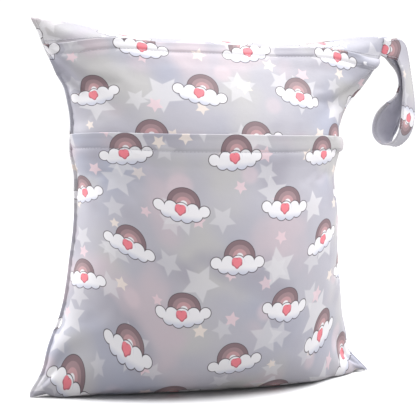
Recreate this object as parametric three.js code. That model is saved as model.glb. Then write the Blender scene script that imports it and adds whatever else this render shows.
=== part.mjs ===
// A zipped wet bag for cloth diapers, stuffed full and standing on its bottom seam, its hanging strap drooping
// from the top right corner. Millimetres, +Z up, the front faces -Y, and the origin is the middle of the flat base.
//
// Each panel is one sheet of cloth: a closed solid between an outer and an inner skin. A point of the bag is named
// by two shares: "across" runs from -1 at the left seam to 1 at the right one, and "along" runs up the cloth from
// 0 at the bottom seam to 1 at the top edge. Tables give the outline and the swell, and functions do the rest.
import * as THREE from "three";

// The bag as it stands
const CLOTH_WIDTH = 340; // a panel laid flat, side seam to side seam
const STANDING_HEIGHT = 317.5; // the floor to the top edge in the middle of the bag
const SEAM_HEIGHT = 328.5; // the side seam, bottom corner to top corner, shortened by its puckers
const CORNER_LIFT = 0.5; // the bottom corners clear the floor by this much
const BASE_WAVE = 0.5; // so does the base between its middle and its two sides, on which the bag stands
const FRONT_DEPTH = 72; // the front swells this far ahead of the side seams
const BACK_DEPTH = 68;
const BOTTOM_SEAM_BACK = 6; // the bottom seam lies this far behind the side seams

// Cloth and seams
const WALL = 1.2; // laminated polyester and its sewn-in turnings
const LAYER_GAP = 0.3; // between cloth layers that lie on each other, and between panels at a seam
const SEAM_LIP = 3; // the pressed edge along a side seam
const PUCKERS = 6; // along each side seam
const PUCKER_DEPTH = 2.2;
const PUCKER_REACH = 0.16; // share of the half width that a pucker runs in from the seam
const HEM_STIFFNESS = 14; // a hem and its zip keep the seam straight this far above and below

// The zips and the cloth that covers them
const ZIP_DROP = 26; // top edge to the hem that covers the top zip
const TOP_HEM = 12; // depth of that hem
const PLACKET_DROP = 116; // top edge to the open edge of the outer pocket
const PLACKET = 17; // depth of the folded band that covers the pocket's zip
const TUNNEL = 3.5; // height of the hollow under a hem, where a slider runs
const HEM_OVERLAP = 4; // how far the cloth behind goes down under a hem's edge
const TOP_EDGE_SHARE = 0.35; // share of the seam's thickness that is left at the top edge, where the strip meets the back
const STITCH_RAMP = 3; // a hem comes down to the panel over this distance, below its stitching
const ZIP_TAPE = 0.9; // thickness
const COIL_WIDTH = 3.6;
const COIL_HEIGHT = 0.6; // above the tape
const SLIDER_LENGTH = 9;
const SLIDER_WIDTH = 5.2;
const SLIDER_THICKNESS = 1.3;
const PULL_LENGTH = 13;
const PULL_WIDTH = 3.4;
const SLIDER_PLACE = 0.9; // across, near the right seam, where a closed zip ends

// The wall between the two pockets lies against the outer pocket
const DIVIDER_WALL = 1;
const DIVIDER_TOP_DROP = 42; // below the top edge
const DIVIDER_REACH = 0.8; // across
const DIVIDER_FOOT = 24; // its lower edge is this far along the cloth from the bottom seam

// The hanging strap
const STRAP_WIDTH = 27;
const STRAP_THICKNESS = 2;
const STRAP_ROOT = 11.5; // the middle of its sewn ends, below the top edge along the right seam
const STRAP_LENGTH = 90; // its sewn ends to its lowest point
const STRAP_SPREAD = 27; // the open end of the loop, leg to leg

// Facets. Every sheet shares these columns and levels, so that layers lie on each other facet to facet.
const COLUMNS = 23; // an odd number keeps a whole facet under the origin
const POCKET_LEVELS = [0, 0.06, 0.12, 0.18, 0.24, 0.31, 0.38, 0.46, 0.54, 0.62, 0.7, 0.78, 0.86, 0.93, 1];
const FRONT_LEVELS = [0, 0.16, 0.33, 0.5, 0.67, 0.84, 1];
const STRIP_LEVELS = [0, 0.35, 0.7, 1];
const STRAP_STEPS = 44;

const COLOURS = { print: 0xc9c7ce, inside: 0xd9d8dc, zip: 0xd5d3d8, slider: 0xe4e3e6 };

// The two side seams, from the bottom corner up. left and right are shares of CLOTH_WIDTH, up is a share of
// SEAM_HEIGHT, and back moves the seam to the rear as a share of BACK_DEPTH. round is how full the section is: 1 is
// an ellipse, and more is flatter beside the seam. level is the share of the half width over which a row of the
// cloth stays level. twist turns the section about the middle of the bag, its right side forward, as a slope.
// crest lifts the row where it leaves the level, as a share of SEAM_HEIGHT, and both faces alike.
const SIDES = [
  { along: 0.0, left: 0.489, right: 0.474, up: 0.0, back: 0.0, round: 0.8, level: 0.9, twist: 0.1, crest: 0.0 },
  { along: 0.05, left: 0.485, right: 0.458, up: 0.018, back: 0.0, round: 0.9, level: 0.9, twist: 0.1, crest: 0.0 },
  { along: 0.1, left: 0.462, right: 0.414, up: 0.07, back: 0.0, round: 1.0, level: 0.8, twist: 0.08, crest: 0.0 },
  { along: 0.15, left: 0.444, right: 0.4, up: 0.135, back: 0.0, round: 1.04, level: 0.6, twist: 0.06, crest: 0.0 },
  { along: 0.22, left: 0.412, right: 0.388, up: 0.216, back: 0.0, round: 1.04, level: 0.4, twist: 0.04, crest: 0.0 },
  { along: 0.31, left: 0.395, right: 0.374, up: 0.31, back: 0.0, round: 1.02, level: 0.32, twist: 0.02, crest: 0.0 },
  { along: 0.41, left: 0.381, right: 0.369, up: 0.41, back: 0.0, round: 1.0, level: 0.3, twist: 0.01, crest: 0.0 },
  { along: 0.51, left: 0.374, right: 0.365, up: 0.508, back: 0.0, round: 1.0, level: 0.3, twist: 0.0, crest: 0.0 },
  { along: 0.59, left: 0.373, right: 0.357, up: 0.584, back: 0.0, round: 1.0, level: 0.3, twist: 0.0, crest: 0.0 },
  { along: 0.645, left: 0.382, right: 0.368, up: 0.635, back: 0.0, round: 1.02, level: 0.3, twist: 0.0, crest: 0.0 },
  { along: 0.69, left: 0.383, right: 0.373, up: 0.678, back: 0.0, round: 1.04, level: 0.3, twist: 0.0, crest: 0.0 },
  { along: 0.74, left: 0.383, right: 0.38, up: 0.732, back: 0.0, round: 1.08, level: 0.3, twist: 0.0, crest: 0.0 },
  { along: 0.79, left: 0.391, right: 0.396, up: 0.783, back: 0.0, round: 1.15, level: 0.3, twist: 0.0, crest: 0.0 },
  { along: 0.83, left: 0.4, right: 0.427, up: 0.822, back: 0.0, round: 1.23, level: 0.3, twist: 0.0, crest: 0.0 },
  { along: 0.86, left: 0.415, right: 0.455, up: 0.852, back: 0.0, round: 1.3, level: 0.3, twist: 0.0, crest: 0.004 },
  { along: 0.93, left: 0.446, right: 0.5, up: 0.924, back: 0.02, round: 1.45, level: 0.34, twist: 0.0, crest: 0.01 },
  { along: 1.0, left: 0.474, right: 0.531, up: 1.0, back: 0.05, round: 1.5, level: 0.38, twist: 0.0, crest: 0.0 },
];
const SEAM_LEVEL = 0.95; // beyond this share of the half width a row lies at the side seam's height

// The middle of each face in profile, from the bottom seam up to the top edge: out is a share of the face's depth,
// and up is a share of STANDING_HEIGHT. The first two rows lie on the floor.
const FRONT_PROFILE = [
  { out: 0.31, up: 0.0 },
  { out: 0.6, up: 0.022 },
  { out: 0.82, up: 0.085 },
  { out: 0.95, up: 0.2 },
  { out: 1.0, up: 0.36 },
  { out: 0.97, up: 0.52 },
  { out: 0.88, up: 0.66 },
  { out: 0.76, up: 0.76 },
  { out: 0.55, up: 0.87 },
  { out: 0.37, up: 0.937 },
  { out: 0.17, up: 0.984 },
];
const BACK_PROFILE = [
  { out: 0.35, up: 0.0 },
  { out: 0.62, up: 0.024 },
  { out: 0.85, up: 0.1 },
  { out: 0.97, up: 0.22 },
  { out: 1.0, up: 0.38 },
  { out: 0.97, up: 0.54 },
  { out: 0.87, up: 0.69 },
  { out: 0.7, up: 0.82 },
  { out: 0.47, up: 0.92 },
  { out: 0.24, up: 0.983 },
];
const TOP_EDGE_BACK = 0.06; // the top edge's middle lies behind the side seams, a share of BACK_DEPTH

// Soft folds and dents. across and along are the middle, turn is the fold's direction in degrees from level, long
// and wide are its half sizes as shares of CLOTH_WIDTH, and rise is outward, as a share of FRONT_DEPTH.
const FOLDS = [
  { face: "front", across: -0.74, along: 0.82, turn: -38, long: 0.14, wide: 0.035, rise: -0.05 },
  { face: "front", across: -0.8, along: 0.9, turn: -30, long: 0.1, wide: 0.03, rise: 0.04 },
  { face: "front", across: 0.74, along: 0.83, turn: 40, long: 0.14, wide: 0.035, rise: -0.05 },
  { face: "front", across: 0.82, along: 0.9, turn: 32, long: 0.1, wide: 0.03, rise: 0.04 },
  { face: "front", across: -0.72, along: 0.13, turn: 42, long: 0.12, wide: 0.035, rise: -0.05 },
  { face: "front", across: 0.72, along: 0.12, turn: -40, long: 0.12, wide: 0.035, rise: -0.05 },
  { face: "front", across: 0.2, along: 0.6, turn: 4, long: 0.3, wide: 0.05, rise: -0.02 },
  { face: "back", across: -0.7, along: 0.84, turn: -42, long: 0.16, wide: 0.04, rise: -0.06 },
  { face: "back", across: 0.7, along: 0.84, turn: 42, long: 0.16, wide: 0.04, rise: -0.06 },
  { face: "back", across: -0.68, along: 0.14, turn: 44, long: 0.14, wide: 0.04, rise: -0.05 },
  { face: "back", across: 0.68, along: 0.14, turn: -44, long: 0.14, wide: 0.04, rise: -0.05 },
  { face: "back", across: -0.1, along: 0.5, turn: 12, long: 0.28, wide: 0.06, rise: -0.03 },
];

// The strap's middle line, out of the seam, down the outer leg, round and up the inner leg. right is a share of
// STRAP_SPREAD from the seam, down is a share of STRAP_LENGTH, and back is a share of STRAP_WIDTH. swing turns
// the strap's width from the right towards the back, and lift raises its rear edge, both in degrees. wide is the
// share of STRAP_WIDTH that is left where the two ends are gathered into the seam, one behind the other.
const STRAP = [
  { right: 0.0, down: 0.0, back: -0.05, swing: 0, lift: 69, wide: 0.6 },
  { right: 0.2, down: 0.023, back: -0.04, swing: 5, lift: 68, wide: 0.66 },
  { right: 0.46, down: 0.02, back: 0.0, swing: 16, lift: 58, wide: 0.78 },
  { right: 0.71, down: 0.04, back: 0.07, swing: 30, lift: 40, wide: 0.9 },
  { right: 0.92, down: 0.14, back: 0.18, swing: 39, lift: 20, wide: 1 },
  { right: 1.06, down: 0.28, back: 0.23, swing: 41, lift: 8, wide: 1 },
  { right: 1.15, down: 0.45, back: 0.25, swing: 41, lift: 3, wide: 1 },
  { right: 1.18, down: 0.63, back: 0.25, swing: 41, lift: 0, wide: 1 },
  { right: 1.13, down: 0.81, back: 0.25, swing: 42, lift: -1, wide: 1 },
  { right: 0.96, down: 0.96, back: 0.28, swing: 44, lift: -2, wide: 1 },
  { right: 0.72, down: 1.05, back: 0.42, swing: 46, lift: -3, wide: 1 },
  { right: 0.49, down: 1.05, back: 0.62, swing: 36, lift: -2, wide: 1 },
  { right: 0.37, down: 0.93, back: 0.74, swing: 10, lift: 0, wide: 1 },
  { right: 0.5, down: 0.78, back: 0.74, swing: 0, lift: 2, wide: 1 },
  { right: 0.78, down: 0.64, back: 0.62, swing: 14, lift: 4, wide: 1 },
  { right: 0.98, down: 0.51, back: 0.48, swing: 34, lift: 6, wide: 1 },
  { right: 1.04, down: 0.37, back: 0.42, swing: 41, lift: 9, wide: 1 },
  { right: 0.91, down: 0.22, back: 0.36, swing: 39, lift: 20, wide: 1 },
  { right: 0.67, down: 0.11, back: 0.27, swing: 30, lift: 40, wide: 0.9 },
  { right: 0.43, down: 0.06, back: 0.16, swing: 16, lift: 58, wide: 0.78 },
  { right: 0.2, down: 0.025, back: 0.1, swing: 5, lift: 68, wide: 0.66 },
  { right: 0.0, down: 0.0, back: 0.06, swing: 0, lift: 69, wide: 0.6 },
];

const QUARTER = Math.PI / 2;

// A cubic through a table's rows, read at a place between them.
function follow(rows, column, at) {
  const last = rows.length - 1;
  let k = 0;
  while (k < last - 1 && rows[k + 1].along < at) k++;
  const span = rows[k + 1].along - rows[k].along;
  const f = (at - rows[k].along) / span;
  const slope = (n) => {
    const a = rows[Math.max(n - 1, 0)];
    const b = rows[Math.min(n + 1, last)];
    return ((b[column] - a[column]) / (b.along - a.along)) * span;
  };
  const start = rows[k][column];
  const rise = rows[k + 1][column] - start;
  const ease = f * f * (3 - 2 * f);
  return start + ease * rise + f * (1 - f) * ((1 - f) * slope(k) - f * slope(k + 1));
}

function smooth(from, to, at) {
  const f = Math.min(Math.max((at - from) / (to - from), 0), 1);
  return f * f * (3 - 2 * f);
}

// A face's middle line, as a curve that getPointAt reads by length.
function profile(rows, depth) {
  const points = rows.map((row) => new THREE.Vector3(0, row.out * depth, row.up * STANDING_HEIGHT));
  points.unshift(new THREE.Vector3(0, BOTTOM_SEAM_BACK, 0));
  points.push(new THREE.Vector3(0, TOP_EDGE_BACK * BACK_DEPTH, STANDING_HEIGHT));
  return new THREE.CatmullRomCurve3(points, false, "centripetal");
}
const MIDDLE = {
  front: profile(FRONT_PROFILE, -FRONT_DEPTH),
  back: profile(BACK_PROFILE, BACK_DEPTH),
};
const CLOTH_HEIGHT = MIDDLE.front.getLength();

// The share of the cloth's height at so many millimetres below the top edge.
const below = (drop) => 1 - drop / CLOTH_HEIGHT;

function foldRelief(face, across, along) {
  let rise = 0;
  for (const fold of FOLDS.filter((row) => row.face === face)) {
    const right = ((across - fold.across) * CLOTH_WIDTH) / 2;
    const up = (along - fold.along) * CLOTH_HEIGHT;
    const turn = THREE.MathUtils.degToRad(fold.turn);
    const run = (right * Math.cos(turn) + up * Math.sin(turn)) / (fold.long * CLOTH_WIDTH);
    const side = (up * Math.cos(turn) - right * Math.sin(turn)) / (fold.wide * CLOTH_WIDTH);
    rise += fold.rise * FRONT_DEPTH * Math.exp(-run * run - side * side);
  }
  return rise;
}

// 1 in a hem and 0 away from it.
function inHem(along, edgeDrop, depth) {
  const drop = (1 - along) * CLOTH_HEIGHT;
  const above = smooth(edgeDrop - HEM_STIFFNESS, edgeDrop, drop);
  const beneath = smooth(edgeDrop + depth + STITCH_RAMP + HEM_STIFFNESS, edgeDrop + depth + STITCH_RAMP, drop);
  return above * beneath;
}

// The puckers fade out at the corners, at the hems and towards the middle of the panel.
function puckerAt(across, along) {
  const fromSeam = (1 - Math.abs(across)) / PUCKER_REACH;
  const corners = smooth(0.04, 0.16, along) * smooth(1, 0.84, along);
  const hems = (1 - inHem(along, PLACKET_DROP, PLACKET)) * (1 - inHem(along, ZIP_DROP, TOP_HEM));
  const size = PUCKER_DEPTH * corners * hems * Math.exp(-fromSeam * fromSeam);
  return size * Math.sin(2 * Math.PI * PUCKERS * along);
}

// The room between the two panels' inner skins at the seam. The bottom corners are bunched and take more.
function gapAt(across, along) {
  const corner = smooth(0.08, 0, along) * smooth(0.7, 0.95, Math.abs(across));
  return LAYER_GAP * (1 + 3 * corner);
}

// How far each sheet stands off the seam's middle surface. On the floor the two panels meet edge to edge, and at the
// side seams and corners they lie face to face.
function standOff(across, along) {
  const upright = Math.max(smooth(0.02, 0.09, along), smooth(0.6, 0.92, Math.abs(across)));
  const folded = Math.min(1, Math.max(TOP_EDGE_SHARE, ((1 - along) * CLOTH_HEIGHT) / (2 * WALL)));
  return (gapAt(across, along) / 2 + WALL * upright) * folded;
}

// How far the base clears the floor, at a share of the half width.
function baseClearance(reach) {
  const between = smooth(0.08, 0.18, reach) * smooth(0.44, 0.36, reach);
  const ends = smooth(0.79, 0.86, reach);
  return BASE_WAVE * Math.max(between, ends);
}

// A point of the bag's outer skin. beyond moves it outwards over the seam lip, from 0 to 1.
function skin(face, across, along, beyond = 0) {
  const sign = face === "front" ? -1 : 1;
  const side = across < 0 ? "left" : "right";
  const toSeam = follow(SIDES, side, along) * CLOTH_WIDTH - SEAM_LIP;
  const turn = Math.abs(across) * QUARTER;
  const reach = Math.sin(turn);
  const seamY = follow(SIDES, "back", along) * BACK_DEPTH;
  const seamZ = CORNER_LIFT + follow(SIDES, "up", along) * SEAM_HEIGHT;
  const middle = MIDDLE[face].getPointAt(THREE.MathUtils.clamp(along, 0, 1));
  const swell = Math.pow(Math.cos(turn), follow(SIDES, "round", along));
  const edge = smooth(follow(SIDES, "level", along), SEAM_LEVEL, reach);
  const off = sign * standOff(across, along);
  const free = Math.cos(turn) * smooth(1, 0.6, reach);
  const turned = Math.sign(across) * reach * toSeam * follow(SIDES, "twist", along) * free;
  const y = seamY + (middle.y - seamY) * swell - turned + off + puckerAt(across, along);
  const crest = 4 * edge * (1 - edge) * follow(SIDES, "crest", along) * SEAM_HEIGHT;
  const z = Math.max(middle.z, 0) * (1 - edge) + seamZ * edge + crest;
  const x = Math.sign(across) * (toSeam * reach + SEAM_LIP * beyond);
  return new THREE.Vector3(x, y, Math.max(z, baseClearance(reach)));
}

// Columns of a panel: the lip's edge, the cloth between the seams, and the other lip's edge.
function columns(count, reach = 1, lips = true) {
  const made = [];
  for (let j = 0; j <= count; j++) made.push({ across: ((2 * j) / count - 1) * reach, beyond: 0 });
  if (lips) {
    made.unshift({ across: -1, beyond: 1 });
    made.push({ across: 1, beyond: 1 });
  }
  return made;
}

// The outward direction of the skin. At the seam it is halfway between the cloth's and the lip's own.
function outward(face, across, along, beyond) {
  const sign = face === "front" ? 1 : -1;
  const lip = new THREE.Vector3(0, -sign, 0);
  if (beyond > 0) return lip;
  const step = 0.01;
  const high = skin(face, across, Math.min(along + step, 1));
  const low = skin(face, across, Math.max(along - step, 0));
  const right = skin(face, Math.min(across + step, 1), along);
  const left = skin(face, Math.max(across - step, -1), along);
  const out = right.sub(left).cross(high.sub(low)).multiplyScalar(sign).normalize();
  return Math.abs(across) < 1 ? out : out.add(lip).normalize();
}

// A point that stands so far over the skin, or under it where height is negative. Nothing crosses the middle
// surface of the seam, where the other panel begins, or the floor.
function overSkin(face, across, along, beyond, height) {
  const base = skin(face, across, along, beyond);
  const point = base.clone();
  const direction = outward(face, across, along, beyond);
  point.addScaledVector(direction, foldRelief(face, across, along) + height);
  const facing = skin(face === "front" ? "back" : "front", across, along, beyond);
  const middle = (base.y + facing.y) / 2;
  const halfGap = gapAt(across, along) / 2;
  if (face === "front") point.y = Math.min(point.y, middle - halfGap);
  if (face === "back") point.y = Math.max(point.y, middle + halfGap);
  point.z = Math.max(point.z, 0);
  return point;
}

// A closed solid between two grids of points: the outer skin, the inner skin turned round, and the rim.
function closedSheet(outer, inner) {
  const height = outer.length;
  const width = outer[0].length;
  const position = [...outer.flat(), ...inner.flat()].flatMap((p) => [p.x, p.y, p.z]);
  const at = (i, j) => i * width + j;
  const back = (i, j) => height * width + at(i, j);
  const index = [];
  const quad = (a, b, c, d) => index.push(a, b, c, a, c, d);
  for (let i = 0; i < height - 1; i++) {
    for (let j = 0; j < width - 1; j++) {
      quad(at(i, j), at(i, j + 1), at(i + 1, j + 1), at(i + 1, j));
      quad(back(i, j), back(i + 1, j), back(i + 1, j + 1), back(i, j + 1));
    }
    quad(at(i, 0), at(i + 1, 0), back(i + 1, 0), back(i, 0));
    quad(at(i, width - 1), back(i, width - 1), back(i + 1, width - 1), at(i + 1, width - 1));
  }
  for (let j = 0; j < width - 1; j++) {
    quad(at(0, j), back(0, j), back(0, j + 1), at(0, j + 1));
    quad(at(height - 1, j), at(height - 1, j + 1), back(height - 1, j + 1), back(height - 1, j));
  }
  const geometry = new THREE.BufferGeometry();
  geometry.setAttribute("position", new THREE.Float32BufferAttribute(position, 3));
  geometry.setIndex(index);
  geometry.computeVertexNormals();
  return geometry;
}

// A sheet laid on the skin: each row holds its face, its place along and how high its two sides stand over the skin.
function layer(rows, cols) {
  const side = (height) =>
    rows.map((row) => cols.map((col) => overSkin(row.face, col.across, row.along, col.beyond, row[height])));
  return closedSheet(side("over"), side("under"));
}

// Places along from one drop below the top edge to another, at the given shares.
const between = (fromDrop, toDrop, shares) => shares.map((share) => below(fromDrop + (toDrop - fromDrop) * share));

// The levels of plain cloth in the outer pocket, the upper front and the strip above the top zip.
const POCKET_CLOTH = between(CLOTH_HEIGHT, PLACKET_DROP + PLACKET + STITCH_RAMP, POCKET_LEVELS);
const FRONT_CLOTH = between(PLACKET_DROP + HEM_OVERLAP, ZIP_DROP + TOP_HEM + STITCH_RAMP, FRONT_LEVELS);
const STRIP_CLOTH = between(ZIP_DROP + HEM_OVERLAP, 2 * WALL, STRIP_LEVELS);

// Rows of cloth at the given levels.
const clothRows = (face, levels, over = 0, under = -WALL) => levels.map((along) => ({ face, along, over, under }));

// Rows of a hem that covers a zip, from its stitching up to its folded edge: two layers over a tunnel.
function hemRows(edgeDrop, depth) {
  const shape = [
    { down: 1.0, stand: 0.0 },
    { down: 0.88, stand: 0.76 },
    { down: 0.66, stand: 1.0 },
    { down: 0.3, stand: 0.95 },
    { down: 0.0, stand: 0.3 },
  ];
  return shape.map(({ down, stand }) => {
    const under = LAYER_GAP + TUNNEL * stand;
    return { face: "front", along: below(edgeDrop + down * depth), over: under + 2 * WALL, under };
  });
}

function mesh(name, geometry, colour, roughness = 0.6) {
  const made = new THREE.Mesh(geometry, new THREE.MeshStandardMaterial({ color: colour, roughness, metalness: 0 }));
  made.name = name;
  return made;
}

// The back panel goes from the bottom seam up to the top edge.
function backPanel() {
  const rear = clothRows("back", [...POCKET_CLOTH, ...FRONT_CLOTH, ...STRIP_CLOTH, 1].reverse());
  return layer(rear, columns(COLUMNS));
}

// The strip runs from behind the top zip's hem up to the top edge, where it is sewn to the back panel.
function topStrip() {
  return layer(clothRows("front", [...STRIP_CLOTH, 1]), columns(COLUMNS));
}

// The upper front runs from behind the pocket's placket up to the hem over the top zip.
function frontPanel() {
  return layer([...clothRows("front", FRONT_CLOTH), ...hemRows(ZIP_DROP, TOP_HEM)], columns(COLUMNS));
}

// The outer pocket runs from the bottom seam up to its placket, the folded band over the pocket's zip.
function pocketPanel() {
  return layer([...clothRows("front", POCKET_CLOTH), ...hemRows(PLACKET_DROP, PLACKET)], columns(COLUMNS));
}

// The wall between the pockets is one layer behind the front.
function dividerPanel() {
  const behindZip = below(PLACKET_DROP + PLACKET / 2 + HEM_OVERLAP / 2);
  const all = [...POCKET_CLOTH, behindZip, ...FRONT_CLOTH];
  const levels = all.filter((along) => along > DIVIDER_FOOT / CLOTH_HEIGHT && along < below(DIVIDER_TOP_DROP));
  const over = -WALL - LAYER_GAP;
  const cols = columns(COLUMNS).filter(({ across }) => Math.abs(across) < DIVIDER_REACH);
  return layer(clothRows("front", levels, over, over - DIVIDER_WALL), cols);
}

// A closed zip under its hem: tape, coil and tape, in one strip.
function zip(edgeDrop, depth) {
  const top = edgeDrop + HEM_OVERLAP + LAYER_GAP;
  const bottom = edgeDrop + depth - LAYER_GAP;
  const middle = (top + bottom) / 2;
  const coil = COIL_WIDTH / 2;
  const rows = [
    { drop: bottom, raise: 0 },
    { drop: middle + coil, raise: 0 },
    { drop: middle + coil / 2, raise: COIL_HEIGHT },
    { drop: middle - coil / 2, raise: COIL_HEIGHT },
    { drop: middle - coil, raise: 0 },
    { drop: top, raise: 0 },
  ];
  const laid = rows.map(({ drop, raise }) => ({ face: "front", along: below(drop), over: raise, under: -ZIP_TAPE }));
  return layer(laid, columns(COLUMNS, 0.99, false));
}

// The place that lies so many millimetres to the left of a start, over the cloth.
function leftOf(start, along, distance) {
  let across = start;
  let gone = 0;
  let here = skin("front", across, along);
  while (gone < distance) {
    across -= 0.002;
    const next = skin("front", across, along);
    gone += next.distanceTo(here);
    here = next;
  }
  return across;
}

// The slider and its pull tab, one plain piece that lies on the coil inside the tunnel.
function slider(edgeDrop, depth) {
  const drop = edgeDrop + (HEM_OVERLAP + depth) / 2;
  const stations = [
    { from: SLIDER_LENGTH + PULL_LENGTH, width: PULL_WIDTH },
    { from: SLIDER_LENGTH + PULL_LENGTH / 2, width: PULL_WIDTH },
    { from: SLIDER_LENGTH * 1.05, width: PULL_WIDTH },
    { from: SLIDER_LENGTH, width: SLIDER_WIDTH * 0.6 },
    { from: SLIDER_LENGTH * 0.7, width: SLIDER_WIDTH },
    { from: 0, width: SLIDER_WIDTH },
  ];
  const under = COIL_HEIGHT + 2 * LAYER_GAP;
  const side = (height) =>
    [0.5, 0, -0.5].map((share) =>
      stations.map(({ from, width }) => {
        const along = below(drop + share * width);
        return overSkin("front", leftOf(SLIDER_PLACE, along, from), along, 0, height);
      }),
    );
  return closedSheet(side(under + SLIDER_THICKNESS), side(under));
}

// The strap is a flat band of folded cloth, carried along its middle line with its width turning as the table says.
function strap() {
  const root = overSkin("front", 1, below(STRAP_ROOT), 1, -WALL).add(overSkin("back", 1, below(STRAP_ROOT), 1, -WALL));
  root.multiplyScalar(0.5);
  const points = STRAP.map(
    (row) =>
      new THREE.Vector3(
        root.x + 2 * LAYER_GAP + row.right * STRAP_SPREAD,
        root.y + row.back * STRAP_WIDTH,
        root.z - row.down * STRAP_LENGTH,
      ),
  );
  const path = new THREE.CatmullRomCurve3(points, false, "centripetal");
  const turns = STRAP.map((row, n) => ({ ...row, along: n / (STRAP.length - 1) }));
  const rings = [];
  for (let i = 0; i <= STRAP_STEPS; i++) {
    const share = i / STRAP_STEPS;
    const middle = path.getPointAt(share);
    const tangent = path.getTangentAt(share);
    const at = path.getUtoTmapping(share);
    const swing = THREE.MathUtils.degToRad(follow(turns, "swing", at));
    const lift = THREE.MathUtils.degToRad(follow(turns, "lift", at));
    const width = new THREE.Vector3(
      Math.cos(swing) * Math.cos(lift),
      Math.sin(swing) * Math.cos(lift),
      Math.sin(lift),
    );
    width.addScaledVector(tangent, -width.dot(tangent)).normalize();
    const face = new THREE.Vector3().crossVectors(width, tangent);
    width.multiplyScalar(follow(turns, "wide", at) * STRAP_WIDTH);
    rings.push({ middle, width, face });
  }
  const line = (side) =>
    rings.map(({ middle, width, face }) =>
      [-0.5, -0.25, 0, 0.25, 0.5].map((share) => {
        const point = middle.clone().addScaledVector(width, share);
        return point.addScaledVector(face, (side * STRAP_THICKNESS) / 2);
      }),
    );
  return closedSheet(line(1), line(-1));
}

const bag = new THREE.Group();
bag.add(mesh("back_panel", backPanel(), COLOURS.print));
bag.add(mesh("top_strip", topStrip(), COLOURS.print));
bag.add(mesh("front_panel", frontPanel(), COLOURS.print));
bag.add(mesh("pocket_panel", pocketPanel(), COLOURS.print));
bag.add(mesh("divider_panel", dividerPanel(), COLOURS.inside, 0.45));
bag.add(mesh("top_zip", zip(ZIP_DROP, TOP_HEM), COLOURS.zip));
bag.add(mesh("pocket_zip", zip(PLACKET_DROP, PLACKET), COLOURS.zip));
bag.add(mesh("top_slider", slider(ZIP_DROP, TOP_HEM), COLOURS.slider, 0.35));
bag.add(mesh("pocket_slider", slider(PLACKET_DROP, PLACKET), COLOURS.slider, 0.35));
bag.add(mesh("hanging_strap", strap(), COLOURS.print));

export default bag;
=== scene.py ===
# %% [markdown]
# # A wet bag for cloth diapers
# A flat sewn bag of laminated cloth, stuffed full and stood on its bottom seam. Everything here is a
# surface that is worked out with numpy in millimetres, put into a Blender mesh in metres, and given a
# procedural material.

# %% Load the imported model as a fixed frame
import math

import bpy
import numpy as np
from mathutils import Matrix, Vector


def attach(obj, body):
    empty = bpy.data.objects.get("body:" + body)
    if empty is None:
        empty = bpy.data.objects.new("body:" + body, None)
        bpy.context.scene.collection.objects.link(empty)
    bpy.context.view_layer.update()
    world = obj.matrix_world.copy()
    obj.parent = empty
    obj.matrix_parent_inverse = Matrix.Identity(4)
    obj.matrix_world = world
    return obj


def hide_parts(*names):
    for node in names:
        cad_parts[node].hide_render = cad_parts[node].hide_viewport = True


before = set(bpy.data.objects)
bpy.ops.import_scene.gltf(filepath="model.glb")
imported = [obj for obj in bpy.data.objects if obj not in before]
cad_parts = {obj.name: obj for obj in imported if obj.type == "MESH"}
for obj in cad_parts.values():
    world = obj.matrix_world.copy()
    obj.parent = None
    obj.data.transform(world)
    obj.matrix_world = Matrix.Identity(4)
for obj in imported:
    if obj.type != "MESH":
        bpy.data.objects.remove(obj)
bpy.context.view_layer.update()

MM = 0.001


print("nodes", sorted(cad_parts))

# %% [markdown]
# ## The camera
# The photograph is taken from a little to the left of the bag and slightly above its middle, with a lens
# long enough that the seams stay nearly parallel. A camera is three facts: where it stands, what it looks
# at and its lens.

# %% Camera at the photograph's angle
CAMERA_TARGET = Vector((-0.004, 0.0, 0.163))
CAMERA_DISTANCE = 0.744
CAMERA_AZIMUTH = math.radians(-17)
CAMERA_ELEVATION = math.radians(2.7)

towards_camera = Vector(
    (
        math.sin(CAMERA_AZIMUTH) * math.cos(CAMERA_ELEVATION),
        -math.cos(CAMERA_AZIMUTH) * math.cos(CAMERA_ELEVATION),
        math.sin(CAMERA_ELEVATION),
    )
)
camera_data = bpy.data.cameras.new("camera")
camera_data.lens = 70
camera_data.sensor_width = 36
camera = bpy.data.objects.new("camera", camera_data)
camera.location = CAMERA_TARGET + CAMERA_DISTANCE * towards_camera
camera.rotation_mode = "QUATERNION"
camera.rotation_quaternion = (-towards_camera).to_track_quat("-Z", "Y")
bpy.context.scene.collection.objects.link(camera)
bpy.context.scene.camera = camera
print("camera stands at", [round(c, 3) for c in camera.location])

# %% [markdown]
# ## Sizes
# These are the sizes of the CAD model, in millimetres, so that the cloth here lies where that model's walls
# are. A place on the bag is named by two shares: across runs from -1 at the left seam to 1 at the right
# one, and along runs up the cloth from 0 at the bottom seam to 1 at the top edge.

# %% Sizes of the bag, in millimetres
CLOTH_WIDTH = 340
STANDING_HEIGHT = 317.5
SEAM_HEIGHT = 328.5
CORNER_LIFT = 0.5
FRONT_DEPTH = 72
BACK_DEPTH = 68
BOTTOM_SEAM_BACK = 6
TOP_EDGE_BACK = 0.06
WALL = 1.2
LAYER_GAP = 0.3
SEAM_LIP = 3
TOP_EDGE_SHARE = 0.35
SEAM_LEVEL = 0.95
PUCKERS = 6
PUCKER_DEPTH = 2.2
PUCKER_REACH = 0.16
HEM_STIFFNESS = 14
ZIP_DROP = 26
TOP_HEM = 12
PLACKET_DROP = 116
PLACKET = 17
TUNNEL = 3.5
HEM_OVERLAP = 4
STITCH_RAMP = 3
FRONT, BACK = -1, 1

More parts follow.
